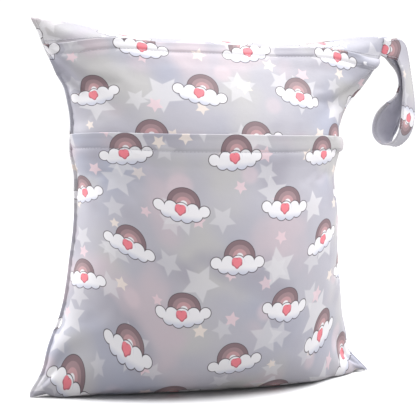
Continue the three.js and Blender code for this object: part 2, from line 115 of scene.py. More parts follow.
SIDE_COLUMNS = ("along", "left", "right", "up", "back", "round", "level", "twist", "crest")
SIDE_ROWS = np.array(
    [
        (0.0, 0.489, 0.474, 0.0, 0.0, 0.8, 0.9, 0.1, 0.0),
        (0.05, 0.485, 0.458, 0.018, 0.0, 0.9, 0.9, 0.1, 0.0),
        (0.1, 0.462, 0.414, 0.07, 0.0, 1.0, 0.8, 0.08, 0.0),
        (0.15, 0.444, 0.4, 0.135, 0.0, 1.04, 0.6, 0.06, 0.0),
        (0.22, 0.412, 0.388, 0.216, 0.0, 1.04, 0.4, 0.04, 0.0),
        (0.31, 0.395, 0.374, 0.31, 0.0, 1.02, 0.32, 0.02, 0.0),
        (0.41, 0.381, 0.369, 0.41, 0.0, 1.0, 0.3, 0.01, 0.0),
        (0.51, 0.374, 0.365, 0.508, 0.0, 1.0, 0.3, 0.0, 0.0),
        (0.59, 0.373, 0.357, 0.584, 0.0, 1.0, 0.3, 0.0, 0.0),
        (0.645, 0.382, 0.368, 0.635, 0.0, 1.02, 0.3, 0.0, 0.0),
        (0.69, 0.383, 0.373, 0.678, 0.0, 1.04, 0.3, 0.0, 0.0),
        (0.74, 0.383, 0.38, 0.732, 0.0, 1.08, 0.3, 0.0, 0.0),
        (0.79, 0.391, 0.396, 0.783, 0.0, 1.15, 0.3, 0.0, 0.0),
        (0.83, 0.4, 0.427, 0.822, 0.0, 1.23, 0.3, 0.0, 0.0),
        (0.86, 0.415, 0.455, 0.852, 0.0, 1.3, 0.3, 0.0, 0.004),
        (0.93, 0.446, 0.5, 0.924, 0.02, 1.45, 0.34, 0.0, 0.01),
        (1.0, 0.474, 0.531, 1.0, 0.05, 1.5, 0.38, 0.0, 0.0),
    ]
)
SIDES = dict(zip(SIDE_COLUMNS, SIDE_ROWS.T))

# The middle of each face in profile: out as a share of the face's depth, up as a share of the standing
# height.
FRONT_PROFILE = [
    (0.31, 0.0), (0.6, 0.022), (0.82, 0.085), (0.95, 0.2), (1.0, 0.36), (0.97, 0.52),
    (0.88, 0.66), (0.76, 0.76), (0.55, 0.87), (0.37, 0.937), (0.17, 0.984),
]
BACK_PROFILE = [
    (0.35, 0.0), (0.62, 0.024), (0.85, 0.1), (0.97, 0.22), (1.0, 0.38),
    (0.97, 0.54), (0.87, 0.69), (0.7, 0.82), (0.47, 0.92), (0.24, 0.983),
]

# Soft folds: face, across, along, turn in degrees, long and wide as shares of the width, rise as a share of
# depth.
FOLDS = [
    (FRONT, -0.74, 0.82, -38, 0.14, 0.035, -0.05),
    (FRONT, -0.8, 0.9, -30, 0.1, 0.03, 0.04),
    (FRONT, 0.74, 0.83, 40, 0.14, 0.035, -0.05),
    (FRONT, 0.82, 0.9, 32, 0.1, 0.03, 0.04),
    (FRONT, -0.72, 0.13, 42, 0.12, 0.035, -0.05),
    (FRONT, 0.72, 0.12, -40, 0.12, 0.035, -0.05),
    (FRONT, 0.2, 0.6, 4, 0.3, 0.05, -0.02),
    (BACK, -0.7, 0.84, -42, 0.16, 0.04, -0.06),
    (BACK, 0.7, 0.84, 42, 0.16, 0.04, -0.06),
    (BACK, -0.68, 0.14, 44, 0.14, 0.04, -0.05),
    (BACK, 0.68, 0.14, -44, 0.14, 0.04, -0.05),
    (BACK, -0.1, 0.5, 12, 0.28, 0.06, -0.03),
]

# %% [markdown]
# ## Reading a table as a smooth curve
# A shape that was measured at a few places needs a smooth line through them. Two kinds are used: a cubic
# through the rows of a table, for numbers that vary with one place, and a curve in space through points,
# read by its length.

# %% Curves through measured rows


def smooth(start, end, at):
    """0 before start, 1 after end, and between them three times the square less twice the cube of the
    share."""
    share = np.clip((at - start) / (end - start), 0, 1)
    return share * share * (3 - 2 * share)


def follow(column, at):
    """A cubic between two rows: it starts and ends with the slope between each row's two neighbours."""
    places, values = SIDES["along"], SIDES[column]
    return through_rows(places, values, at)


def through_rows(places, values, at):
    """The value at any place of a cubic through rows of (place, value)."""
    slopes = np.gradient(values)
    steps = np.gradient(places)
    slopes = slopes / steps
    k = np.searchsorted(places[1:-1], at, side="left")
    span = places[k + 1] - places[k]
    share = (at - places[k]) / span
    rise = values[k + 1] - values[k]
    ease = share * share * (3 - 2 * share)
    bend = (1 - share) * slopes[k] * span - share * slopes[k + 1] * span
    return values[k] + ease * rise + share * (1 - share) * bend


SPAN_STEPS = 160


def curve_through(points):
    """A cubic in space through points. The time between two points is the square root of their distance,
    and each span starts and ends with the slope that the neighbouring spans give. Returns the points of the
    curve, its length up to each of them, and the parameter from 0 to 1 that each has."""
    p = np.asarray(points, float)
    p = np.vstack([2 * p[0] - p[1], p, 2 * p[-1] - p[-2]])
    time = np.sqrt(np.linalg.norm(np.diff(p, axis=0), axis=1))
    share = np.linspace(0, 1, SPAN_STEPS, endpoint=False)[None, :, None]
    a, b, c, d = p[:-3, None], p[1:-2, None], p[2:-1, None], p[3:, None]
    t0, t1, t2 = (time[n : len(time) - 2 + n, None, None] for n in range(3))
    leave = ((b - a) / t0 - (c - a) / (t0 + t1) + (c - b) / t1) * t1
    arrive = ((c - b) / t1 - (d - b) / (t1 + t2) + (d - c) / t2) * t1
    square = share * share
    cube = square * share
    line = b + leave * share + (3 * (c - b) - 2 * leave - arrive) * square
    line = line + (2 * (b - c) + leave + arrive) * cube
    line = np.vstack([line.reshape(-1, p.shape[1]), p[-2]])
    length = np.concatenate([[0], np.cumsum(np.linalg.norm(np.diff(line, axis=0), axis=1))])
    return line, length, np.linspace(0, 1, len(line))


def face_middle(rows, depth):
    """The middle line of one face from the bottom seam to the top edge, as (back, up) points."""
    points = [(BOTTOM_SEAM_BACK, 0)]
    points += [(out * depth, up * STANDING_HEIGHT) for out, up in rows]
    points += [(TOP_EDGE_BACK * BACK_DEPTH, STANDING_HEIGHT)]
    return curve_through(points)


MIDDLE = {FRONT: face_middle(FRONT_PROFILE, -FRONT_DEPTH), BACK: face_middle(BACK_PROFILE, BACK_DEPTH)}
CLOTH_HEIGHT = MIDDLE[FRONT][1][-1]
print("the front is", round(CLOTH_HEIGHT), "mm of cloth from seam to fold")
print("the back is", round(MIDDLE[BACK][1][-1]), "mm")


def below(drop):
    """The share along the cloth that lies so many millimetres below the top edge."""
    return 1 - drop / CLOTH_HEIGHT


# %% [markdown]
# ## The stuffed form
# A row of the bag is two bulging arcs that meet at the side seams. With an angle that runs from 0 in the
# middle to a quarter turn at the seam, its sine gives the place across and its cosine, raised to a power,
# gives the swell. Near the middle a row follows the face's own middle line, and near a seam it follows the
# seam.

# %% The bag's skin as a function of two shares
HEMS = ((ZIP_DROP, TOP_HEM), (PLACKET_DROP, PLACKET))
SLOPE_STEP = 0.01


def in_hem(along, edge_drop, depth):
    """1 in a hem and 0 away from it, with soft ends."""
    drop = (1 - along) * CLOTH_HEIGHT
    under = edge_drop + depth + STITCH_RAMP
    return smooth(edge_drop - HEM_STIFFNESS, edge_drop, drop) * smooth(under + HEM_STIFFNESS, under, drop)


def hems(along):
    """How much either hem stiffens the cloth at a place."""
    return np.maximum(*(in_hem(along, edge_drop, depth) for edge_drop, depth in HEMS))


def pucker(across, along):
    """A sine up the seam, which fades as the bell curve of the distance from it."""
    away = (1 - np.abs(across)) / PUCKER_REACH
    size = PUCKER_DEPTH * smooth(0.04, 0.16, along) * smooth(1, 0.84, along)
    for edge_drop, depth in HEMS:
        size = size * (1 - in_hem(along, edge_drop, depth))
    return size * np.exp(-away * away) * np.sin(2 * np.pi * PUCKERS * along)


def seam_gap(across, along):
    """The room between the two panels at the seam, more where a bottom corner is bunched."""
    return LAYER_GAP * (1 + 3 * smooth(0.08, 0, along) * smooth(0.7, 0.95, np.abs(across)))


def stand_off(across, along):
    """Half the thickness of the seam: none where cloth meets edge to edge on the floor, and rolled in as a
    quarter circle at the top edge."""
    upright = np.maximum(smooth(0.02, 0.09, along), smooth(0.6, 0.92, np.abs(across)))
    from_edge = np.clip((1 - along) * CLOTH_HEIGHT / (2 * WALL), 0, 1)
    rolled = np.maximum(TOP_EDGE_SHARE, np.sqrt(1 - (1 - from_edge) ** 2))
    return (seam_gap(across, along) / 2 + WALL * upright) * rolled


def skin(face, across, along, beyond=0.0):
    """The outer skin: sine for the place across, a power of the cosine for the swell, and a blend of the
    middle line's height with the seam's height. beyond, from 0 to 1, moves over the seam's pressed edge."""
    face, across, along, beyond = np.broadcast_arrays(face, across, along, beyond)
    to_seam = np.where(across < 0, follow("left", along), follow("right", along)) * CLOTH_WIDTH - SEAM_LIP
    turn = np.abs(across) * np.pi / 2
    reach, cosine = np.sin(turn), np.clip(np.cos(turn), 0, 1)
    seam_y = follow("back", along) * BACK_DEPTH
    seam_z = CORNER_LIFT + follow("up", along) * SEAM_HEIGHT
    middle = {}
    for side, (line, length, _) in MIDDLE.items():
        at = np.clip(along, 0, 1) * length[-1]
        middle[side] = [np.interp(at, length, line[:, n]) for n in (0, 1)]
    middle_y = np.where(face < 0, middle[FRONT][0], middle[BACK][0])
    middle_z = np.where(face < 0, middle[FRONT][1], middle[BACK][1])
    edge = smooth(follow("level", along), SEAM_LEVEL, reach)
    free = cosine * smooth(1, 0.6, reach)
    twisted = np.sign(across) * reach * to_seam * follow("twist", along) * free
    y = seam_y + (middle_y - seam_y) * cosine ** follow("round", along) - twisted
    y = y + face * stand_off(across, along) + pucker(across, along)
    crest = 4 * edge * (1 - edge) * follow("crest", along) * SEAM_HEIGHT
    z = np.maximum(middle_z, 0) * (1 - edge) + seam_z * edge + crest
    x = np.sign(across) * (to_seam * reach + SEAM_LIP * beyond)
    return np.stack([x, y, np.maximum(z, 0)], axis=-1)


def unit(vectors):
    """Each vector divided by its own length."""
    return vectors / np.maximum(np.linalg.norm(vectors, axis=-1, keepdims=True), 1e-9)


def outward(face, across, along, beyond=0.0):
    """The skin's outward direction, the cross product of its two slopes. On the seam's lip it is straight
    ahead."""
    face, across, along, beyond = np.broadcast_arrays(face, across, along, beyond)
    higher, lower = np.minimum(along + SLOPE_STEP, 1), np.maximum(along - SLOPE_STEP, 0)
    after, before = np.minimum(across + SLOPE_STEP, 1), np.maximum(across - SLOPE_STEP, -1)
    up = skin(face, across, higher) - skin(face, across, lower)
    right = skin(face, after, along) - skin(face, before, along)
    out = unit(np.cross(right, up) * -face[..., None])
    lip = np.stack([0 * face, face, 0 * face], axis=-1).astype(float)
    at_seam = unit(out + lip)
    out = np.where((np.abs(across) >= 1)[..., None], at_seam, out)
    return np.where((beyond > 0)[..., None], lip, out)


# %% [markdown]
# ## Stuffing the cloth
# Two flat rectangles sewn together and filled can't take the form above without wrinkles: the seams are too
# long for it. Blender's cloth solver finds where the slack goes. The form is the start, the flat rectangles
# are the length that every thread wants, a little pressure fills the bag and a weak hold keeps it near the
# form. What is kept is the wrinkles alone: the movement less its own broad average, so the measured form
# stays.

# %% Grid, joined into one closed bag
STUFF_ROWS, STUFF_COLS = 88, 88
FLAT_WIDTH = 332
stuff_along = np.linspace(0, 1, STUFF_ROWS + 1)[:, None]
stuff_across = np.linspace(-1, 1, STUFF_COLS + 1)[None, :]


def join_faces():
    """Numbers for the points of both faces, the four edges shared, and the squares between them."""
    front = np.arange((STUFF_ROWS + 1) * (STUFF_COLS + 1)).reshape(STUFF_ROWS + 1, STUFF_COLS + 1)
    back = front.copy()
    inside = (STUFF_ROWS - 1) * (STUFF_COLS - 1)
    back[1:-1, 1:-1] = front.size + np.arange(inside).reshape(STUFF_ROWS - 1, STUFF_COLS - 1)
    corners = [(slice(None, -1), slice(None, -1)), (slice(None, -1), slice(1, None))]
    corners += [(slice(1, None), slice(1, None)), (slice(1, None), slice(None, -1))]
    squares = [np.stack([front[c].ravel() for c in corners], axis=1)]
    squares += [np.stack([back[c].ravel() for c in reversed(corners)], axis=1)]
    return front, back, np.vstack(squares)


def gather(front_grid, back_grid, front, back):
    """One list of points from two grids. On the shared edges a point is the average of both."""
    points = np.zeros((back.max() + 1, 3))
    points[back.ravel()] = back_grid.reshape(-1, 3)
    inner = np.zeros(front.shape, bool)
    inner[1:-1, 1:-1] = True
    points[front[inner]] = front_grid[inner]
    rim = front[~inner]
    points[rim] = (front_grid[~inner] + back_grid[~inner]) / 2
    return points


FRONT_NUMBERS, BACK_NUMBERS, SQUARES = join_faces()
both_faces = (skin(side, stuff_across, stuff_along) for side in (FRONT, BACK))
start_form = gather(*both_faces, FRONT_NUMBERS, BACK_NUMBERS)
print("cloth grid", len(start_form), "points,", len(SQUARES), "squares")

# %% Solver


def flat_cut():
    """The two rectangles: the columns are spaced as they are at half height, and both faces lie on each
    other."""
    half = skin(FRONT, stuff_across, 0.5)[0]
    length = np.concatenate([[0], np.cumsum(np.linalg.norm(np.diff(half, axis=0), axis=1))])
    x = (length / length[-1] - 0.5) * FLAT_WIDTH + 0 * stuff_along
    z = stuff_along * CLOTH_HEIGHT + 0 * x
    both = (np.stack([x, 0 * x + side, z], -1) for side in (FRONT, BACK))
    return gather(*both, FRONT_NUMBERS, BACK_NUMBERS)


FRAMES = 26
PRESSURE = 4.0
HOLD = 0.07


def stuffed(start, flat):
    """Runs the cloth solver from start with the rest lengths of flat, and returns where every point comes
    to."""
    scene = bpy.context.scene
    mesh = bpy.data.meshes.new("stuffing")
    mesh.from_pydata((start * MM).tolist(), [], SQUARES.tolist())
    trial = bpy.data.objects.new("stuffing", mesh)
    scene.collection.objects.link(trial)
    trial.shape_key_add(name="form")
    cut = trial.shape_key_add(name="flat")
    cut.data.foreach_set("co", (flat * MM).ravel())
    trial.vertex_groups.new(name="hold").add(list(range(len(start))), HOLD, "REPLACE")
    cloth = trial.modifiers.new("cloth", "CLOTH")
    settings = cloth.settings
    settings.quality = 6
    settings.mass = 0.3
    settings.tension_stiffness = settings.compression_stiffness = 15
    settings.shear_stiffness = 5
    settings.bending_stiffness = 0.4
    settings.air_damping = 1
    settings.rest_shape_key = cut
    settings.vertex_group_mass = "hold"
    settings.pin_stiffness = 1
    settings.use_pressure = True
    settings.uniform_pressure_force = PRESSURE
    settings.effector_weights.gravity = 0
    cloth.point_cache.frame_start = 1
    cloth.point_cache.frame_end = FRAMES
    for number in range(1, FRAMES + 1):
        scene.frame_set(number)
    done = trial.evaluated_get(bpy.context.evaluated_depsgraph_get())
    moved = np.empty(len(start) * 3)
    done.data.vertices.foreach_get("co", moved)
    bpy.data.objects.remove(trial)
    bpy.data.meshes.remove(mesh)
    scene.frame_set(1)
    return moved.reshape(-1, 3) / MM


# %% Wrinkles are the movement less its broad average
WRINKLE_CAP = 6.0
BROAD_ROUNDS = 70


def relax(values, rounds):
    """Replaces every value by the mean of itself and its neighbours' mean, so many times."""
    ends = np.vstack([SQUARES[:, [0, 1]], SQUARES[:, [1, 2]], SQUARES[:, [2, 3]], SQUARES[:, [3, 0]]])
    ends = np.vstack([ends, ends[:, ::-1]])
    count = np.bincount(ends[:, 0], minlength=len(values))
    for _ in range(rounds):
        total = [np.bincount(ends[:, 0], values[ends[:, 1], n], minlength=len(values)) for n in range(3)]
        values = 0.5 * values + 0.5 * np.stack(total, axis=1) / count[:, None]
    return values


settled = stuffed(start_form, flat_cut())
moved = settled - start_form
wrinkles = relax(moved - relax(moved, BROAD_ROUNDS), 1)
size = np.linalg.norm(wrinkles, axis=1, keepdims=True)
wrinkles = wrinkles * WRINKLE_CAP * np.tanh(size / WRINKLE_CAP) / np.maximum(size, 1e-9)
print("moved by at most", round(np.linalg.norm(moved, axis=1).max(), 1), "mm")
print("wrinkles of up to", round(float(np.abs(wrinkles).max()), 1), "mm")
WRINKLES = {FRONT: wrinkles[FRONT_NUMBERS], BACK: wrinkles[BACK_NUMBERS]}

# %% [markdown]
# ## Cloth that lies on the skin
# Every panel, hem and zip is given by how high its two sides stand over the skin. Wrinkles, soft folds and
# the small gathers along a seam belong to the skin, so all layers share them and never pass through each
# other.

# %% Wrinkles, folds and gathers at any place
HEM_CALM = 0.6


def cubic_weights(share):
    """The four weights of a cubic through evenly spaced values, for a share between the middle two."""
    s = share
    return [
        ((-0.5 * s + 1) * s - 0.5) * s,
        (1.5 * s - 2.5) * s * s + 1,
        ((-1.5 * s + 2) * s + 0.5) * s,
        (0.5 * s - 0.5) * s * s,
    ]


def read_grid(grid, row, col):
    """A grid of vectors read between its points by a cubic in both directions."""
    i = np.clip(np.floor(row).astype(int), 0, grid.shape[0] - 2)
    j = np.clip(np.floor(col).astype(int), 0, grid.shape[1] - 2)
    total = 0
    for n, down in enumerate(cubic_weights(row - i)):
        for m, over in enumerate(cubic_weights(col - j)):
            a = np.clip(i + n - 1, 0, grid.shape[0] - 1)
            b = np.clip(j + m - 1, 0, grid.shape[1] - 1)
            total = total + (down * over)[..., None] * grid[a, b]
    return total


def wrinkle(face, across, along):
    """The solver's wrinkles, less in the stiff hems."""
    row = np.clip(along, 0, 1) * STUFF_ROWS
    col = (np.clip(across, -1, 1) + 1) / 2 * STUFF_COLS
    found = {side: read_grid(WRINKLES[side], row, col) for side in (FRONT, BACK)}
    both = np.where((face < 0)[..., None], found[FRONT], found[BACK])
    return both * (1 - HEM_CALM * hems(along))[..., None]


def fold_relief(face, across, along):
    """A sum of long bell curves, each turned and stretched along its own direction."""
    rise = np.zeros(np.shape(across))
    for side, at_across, at_along, turn, long, wide, height in FOLDS:
        right = (across - at_across) * CLOTH_WIDTH / 2
        up = (along - at_along) * CLOTH_HEIGHT
        cosine, sine = math.cos(math.radians(turn)), math.sin(math.radians(turn))
        run = (right * cosine + up * sine) / (long * CLOTH_WIDTH)
        aside = (up * cosine - right * sine) / (wide * CLOTH_WIDTH)
        rise = rise + (face == side) * height * FRONT_DEPTH * np.exp(-run * run - aside * aside)
    return rise


GATHER_DEPTH = 0.55
GATHER_REACH = 11
GATHER_CALM = 0.8
GATHER_WAVES = ((31, 0.4, 0.5), (47, 1.9, 0.3), (73, 4.1, 0.2))


def gathers(across, along):
    """Small ripples where thread draws the cloth in beside the side seams: three sines of unlike
    lengths."""
    away = (1 - np.abs(across)) * CLOTH_WIDTH / 2
    wave = sum(part * np.sin(2 * np.pi * count * along + lag) for count, lag, part in GATHER_WAVES)
    ends = smooth(0.02, 0.08, along) * smooth(1, 0.94, along)
    fade = np.exp(-((away / GATHER_REACH) ** 2)) * ends * (1 - GATHER_CALM * hems(along))
    return GATHER_DEPTH * wave * fade


def over_skin(face, across, along, beyond, height):
    """A point so high over the skin. Nothing crosses the middle of the seam or the floor."""
    face, across, along, beyond, height = np.broadcast_arrays(face, across, along, beyond, height)
    creased = wrinkle(face, across, along)
    base = skin(face, across, along, beyond) + creased
    rise = fold_relief(face, across, along) + gathers(across, along) + height
    point = base + outward(face, across, along, beyond) * rise[..., None]
    facing = skin(-face, across, along, beyond) + wrinkle(-face, across, along)
    middle = (base[..., 1] + facing[..., 1]) / 2
    half = seam_gap(across, along) / 2
    in_front, behind = np.minimum(point[..., 1], middle - half), np.maximum(point[..., 1], middle + half)
    point[..., 1] = np.where(face < 0, in_front, behind)
    point[..., 2] = np.maximum(point[..., 2], 0)
    return point


# %% [markdown]
# ## Putting a surface into a mesh
# A sheet of cloth is two grids of points, its outer and its inner side, joined by a rim all round. Its UV
# map is in metres of fabric, so that the print keeps its scale wherever the cloth goes.

# %% Mesh helpers


def cells(rows, cols, start=0):
    """The squares of a grid of points, as four numbers each, anticlockwise with rows going up and columns
    right."""
    at = start + np.arange(rows * cols).reshape(rows, cols)
    return np.stack([at[:-1, :-1], at[:-1, 1:], at[1:, 1:], at[1:, :-1]], axis=-1).reshape(-1, 4)


def put_mesh(name, points, faces, uv=None):
    """A smooth-shaded mesh object at the origin, from millimetres. uv holds one pair for each corner of
    each face."""
    mesh = bpy.data.meshes.new(name)
    mesh.from_pydata((np.asarray(points) * MM).tolist(), [], [list(map(int, f)) for f in faces])
    if uv is not None:
        layer = mesh.uv_layers.new(name="fabric")
        layer.data.foreach_set("uv", (np.asarray(uv) * MM).ravel())
    mesh.polygons.foreach_set("use_smooth", np.ones(len(mesh.polygons), bool))
    mesh.validate()
    mesh.update()
    made = bpy.data.objects.new(name, mesh)
    bpy.context.scene.collection.objects.link(made)
    return made


def sheet_mesh(name, outer, inner, fabric):
    """A closed sheet from two grids. fabric is the place on the cloth of every grid point."""
    rows, cols = outer.shape[:2]
    size = rows * cols
    top, under = cells(rows, cols), cells(rows, cols, size)[:, ::-1]
    line = np.arange(cols - 1)
    pole = np.arange(rows - 1) * cols
    last = (rows - 1) * cols
    near = np.stack([line, line + size, line + 1 + size, line + 1], axis=-1)
    far = np.stack([last + line, last + line + 1, last + line + 1 + size, last + line + size], axis=-1)
    left = np.stack([pole, pole + cols, pole + cols + size, pole + size], axis=-1)
    right = left + cols - 1
    right = right[:, ::-1]
    faces = np.vstack([top, under, near, far, left, right])
    uv = fabric.reshape(-1, 2)[faces % size]
    points = np.vstack([outer.reshape(-1, 3), inner.reshape(-1, 3)])
    return put_mesh(name, points, faces, uv.reshape(-1, 2))


CLOTH_STEP = 2.1
PANEL_COLS = int(CLOTH_WIDTH / CLOTH_STEP)
LIP_STEPS = (0.35, 0.65, 0.85, 1.0)


def panel_columns(reach=1.0, lips=True):
    """Places across a panel, and over the lips at both seams."""
    across = np.linspace(-reach, reach, PANEL_COLS)
    beyond = np.zeros(PANEL_COLS)
    if lips:
        across = np.concatenate([-np.ones(len(LIP_STEPS)), across, np.ones(len(LIP_STEPS))])
        beyond = np.concatenate([LIP_STEPS[::-1], beyond, LIP_STEPS])
    return across, beyond


def panel(name, face, along, over, under, lips=True, reach=1.0, fabric_shift=(0, 0)):
    """A panel of cloth. along holds a value for each row, from the bottom up. over and under are the
    heights of its two sides, as one value or a grid. At the lips the outer side comes down to the inner one
    in a quarter circle, which is how a turned seam rolls in."""
    across, beyond = panel_columns(reach, lips)
    along = np.asarray(along, float)[:, None]
    over, under = (np.broadcast_to(v, (len(along), len(across))) for v in (over, under))
    roll = 1 - np.sqrt(np.clip(1 - beyond**2, 0, 1))
    outer = over_skin(face, across[None], along, beyond[None], over + (under + 0.1 - over) * roll[None])
    inner = over_skin(face, across[None], along, beyond[None], under)
    step = np.linalg.norm(np.diff(outer, axis=1), axis=2)
    run = np.concatenate([np.zeros((len(outer), 1)), np.cumsum(step, axis=1)], axis=1)
    run = (run - run[:, run.shape[1] // 2, None]) * -face
    up = along * CLOTH_HEIGHT + 0 * run
    fabric = np.stack([run + fabric_shift[0], up + fabric_shift[1]], axis=-1)
    if face == BACK:
        outer, inner, fabric = outer[:, ::-1], inner[:, ::-1], fabric[:, ::-1]
    made = sheet_mesh(name, outer, inner, fabric)
    print(name, "has", len(made.data.polygons), "faces")
    return made


def levels(from_drop, to_drop, step=CLOTH_STEP):
    """Even places along the cloth between two drops below the top edge."""
    return below(np.linspace(from_drop, to_drop, max(int(abs(to_drop - from_drop) / step), 2) + 1))


# %% [markdown]
# ## Hems over the zips
# Both zips lie under a folded hem, which is two layers that lie flat over the zip from the stitching up and
# end in a fold. Height over the skin against distance from the edge says it all: a groove where the thread
# pulls, a higher place over the slider, and less height where the ends are sewn into the side seams. The
# hem is thinner and flatter here than in the CAD model, where it is one stiff wall.

# %% Profile of a hem
HEM_DOWN = np.array([0.0, 0.3, 0.66, 0.88, 1.0])
HEM_STAND = np.array([2.3, 2.0, 1.15, 0.35, 0.0])
SLIDER_STAND = np.array([0.3, 0.95, 1.0, 0.76, 0.0]) * TUNNEL
HEM_HALF = 0.42
HEM_EDGE_HALF = 0.75
HEM_FOLD = np.array([1.05, 0.7, 0.4, 0.15, 0.0])
HEM_SEWN = 0.25
HEM_SWELL = 13
SLIDER_ROOM = ((0.6, 0.74), (0.985, 0.93))
STITCH_GROOVE = 0.55
STITCH_UP = 2.2


def hem_profile(from_edge, depth, across):
    """Heights over the skin of the outer and the inner side of a hem, so many millimetres from its edge."""
    down = from_edge / depth
    flat = through_rows(HEM_DOWN, HEM_STAND, down)
    tall = through_rows(HEM_DOWN, SLIDER_STAND, down)
    over_slider = smooth(*SLIDER_ROOM[0], across) * smooth(*SLIDER_ROOM[1], across)
    sewn = HEM_SEWN + (1 - HEM_SEWN) * smooth(1, 0.95, np.abs(across))
    half = HEM_HALF + (HEM_EDGE_HALF - HEM_HALF) * smooth(0.35, 0, down)
    middle = LAYER_GAP + (flat + (tall - flat) * over_slider) * sewn + half
    folded = half * np.sqrt(np.clip(1 - np.clip(1 - from_edge / half, 0, 1) ** 2, 0.01, 1))
    groove = STITCH_GROOVE * np.exp(-(((depth - from_edge - STITCH_UP) / 1.1) ** 2))
    return middle + folded - groove, middle - folded


def hemmed(name, plain_levels, edge_drop, depth, shift):
    """Plain cloth that ends in a hem. Its outer side swells a little towards the stitching."""
    across, _ = panel_columns()
    from_edge = np.concatenate([np.linspace(depth, 1.5, int(depth * 1.2)), HEM_FOLD])
    over, under = hem_profile(from_edge[:, None], depth, across[None])
    ramp = STITCH_RAMP * np.array([0.75, 0.5, 0.25])
    plain = np.concatenate([plain_levels, below(edge_drop + depth + ramp)])
    away = ((below(edge_drop + depth) - plain) * CLOTH_HEIGHT)[:, None]
    over = np.vstack([over[0] * smooth(HEM_SWELL, 0, away), over])
    under = np.vstack([-WALL + (under[0] + WALL) * smooth(STITCH_RAMP, 0, away), under])
    along = np.concatenate([plain, below(edge_drop + from_edge)])
    return panel(name, FRONT, along, over, under, fabric_shift=shift)


# %% The two printed panels that end in a hem
pocket_rows = levels(CLOTH_HEIGHT, PLACKET_DROP + PLACKET + STITCH_RAMP)
pocket_cloth = hemmed("pocket_cloth", pocket_rows, PLACKET_DROP, PLACKET, (0, 0))
front_rows = levels(PLACKET_DROP + HEM_OVERLAP, ZIP_DROP + TOP_HEM + STITCH_RAMP)
front_cloth = hemmed("front_cloth", front_rows, ZIP_DROP, TOP_HEM, (24, 30))

# %% The strip above the top zip, and the back
TOP_ROLL = below(np.array([1.9, 1.4, 1.0, 0.6, 0.3, 0.1, 0.0]))
strip_rows = np.concatenate([levels(ZIP_DROP + HEM_OVERLAP, 2 * WALL, 1.8), TOP_ROLL])
back_rows = np.concatenate([levels(CLOTH_HEIGHT, 2 * WALL), TOP_ROLL])
strip_cloth = panel("strip_cloth", FRONT, strip_rows, 0.0, -WALL, fabric_shift=(-12, 52))
back_cloth = panel("back_cloth", BACK, back_rows, 0.0, -WALL, fabric_shift=(31, 17))

# %% [markdown]
# ## The wall between the pockets
# Behind the front lies one plain layer of the laminate, which keeps the outer pocket apart from the main
# one. Only its place matters, so it is the skin again, one layer further in and a little narrower.

# %% Wall between the pockets
DIVIDER_WALL = 1
DIVIDER_TOP_DROP = 42
DIVIDER_REACH = 0.78
DIVIDER_FOOT = 26
wall_levels = levels(CLOTH_HEIGHT - DIVIDER_FOOT, DIVIDER_TOP_DROP + 1, 3)
wall_over = -WALL - LAYER_GAP
pocket_wall = panel(
    "pocket_wall", FRONT, wall_levels, wall_over, wall_over - DIVIDER_WALL, lips=False, reach=DIVIDER_REACH
)

# %% [markdown]
# ## The zips
# A coil zip is two woven tapes with a row of small teeth each, which mesh in the middle. The tapes are one
# closed sheet here, because they are shut. A tooth is a rounded bar, copied along both sides of the line by
# adding arrays.

# %% Tapes and teeth
ZIP_TAPE = 0.9
TOOTH_PITCH = 1.5
TOOTH_LONG = 2.0
TOOTH_HIGH = 0.55
TOOTH_WIDE = 0.55
TOOTH_ASIDE = 0.45
TOOTH_STAND = 0.3
TAPE_REACH = 0.985
ZIP_REACH = 0.97


def tube_faces(rings, around):
    """The squares between rings of so many points each, and the two flat ends."""
    line = np.arange(around)
    after = (line + 1) % around
    start = np.arange(rings - 1)[:, None] * around
    walls = np.stack([start + line, start + after, start + after + around, start + line + around], -1)
    ends = [list(range(around))[::-1], list(range(around * (rings - 1), around * rings))]
    return walls.reshape(-1, 4).tolist() + ends


def rounded_bar(long, wide, high, rings=5, sides=8):
    """A bar along X: each ring is an ellipse whose size follows the half circle from end to end, closed by
    two caps."""
    turn = np.linspace(0, 2 * np.pi, sides, endpoint=False)
    place = np.linspace(-1, 1, rings)
    size = (1 - np.abs(place) ** 4 * 0.55)[:, None]
    x = np.repeat(place[:, None] * long / 2, sides, axis=1)
    y = np.cos(turn) * size * wide / 2
    z = np.sin(turn) * size * high / 2
    return np.stack([x, y, z], axis=-1).reshape(-1, 3), tube_faces(rings, sides)


def copies(name, shape, origins, x_axes, z_axes):
    """One mesh with a copy of a small shape at every origin, turned so that its X and Z follow the given
    axes."""
    points, faces = shape
    x_axes = unit(x_axes)
    z_axes = unit(z_axes - x_axes * (x_axes * z_axes).sum(-1, keepdims=True))
    y_axes = np.cross(z_axes, x_axes)
    frames = np.stack([x_axes, y_axes, z_axes], axis=1)
    placed = origins[:, None] + np.einsum("pk,nkd->npd", points, frames)
    every = [[v + n * len(points) for v in f] for n in range(len(origins)) for f in faces]
    return put_mesh(name, placed.reshape(-1, 3), every)


LINE_SAMPLES = 1200


def even_places(face, along, height, first, last, pitch):
    """Places on a line over the skin at even distances: points, directions along the line, and outward
    directions."""
    across = np.linspace(first, last, LINE_SAMPLES)
    line = over_skin(face, across, along, 0.0, height)
    length = np.concatenate([[0], np.cumsum(np.linalg.norm(np.diff(line, axis=0), axis=1))])
    at = np.arange(pitch / 2, length[-1], pitch)
    points = np.stack([np.interp(at, length, line[:, n]) for n in range(3)], axis=-1)
    ahead = np.stack([np.interp(at + 0.5, length, line[:, n]) for n in range(3)], axis=-1)
    behind = np.stack([np.interp(at - 0.5, length, line[:, n]) for n in range(3)], axis=-1)
    return points, unit(ahead - behind), outward(face, np.interp(at, length, across), along)


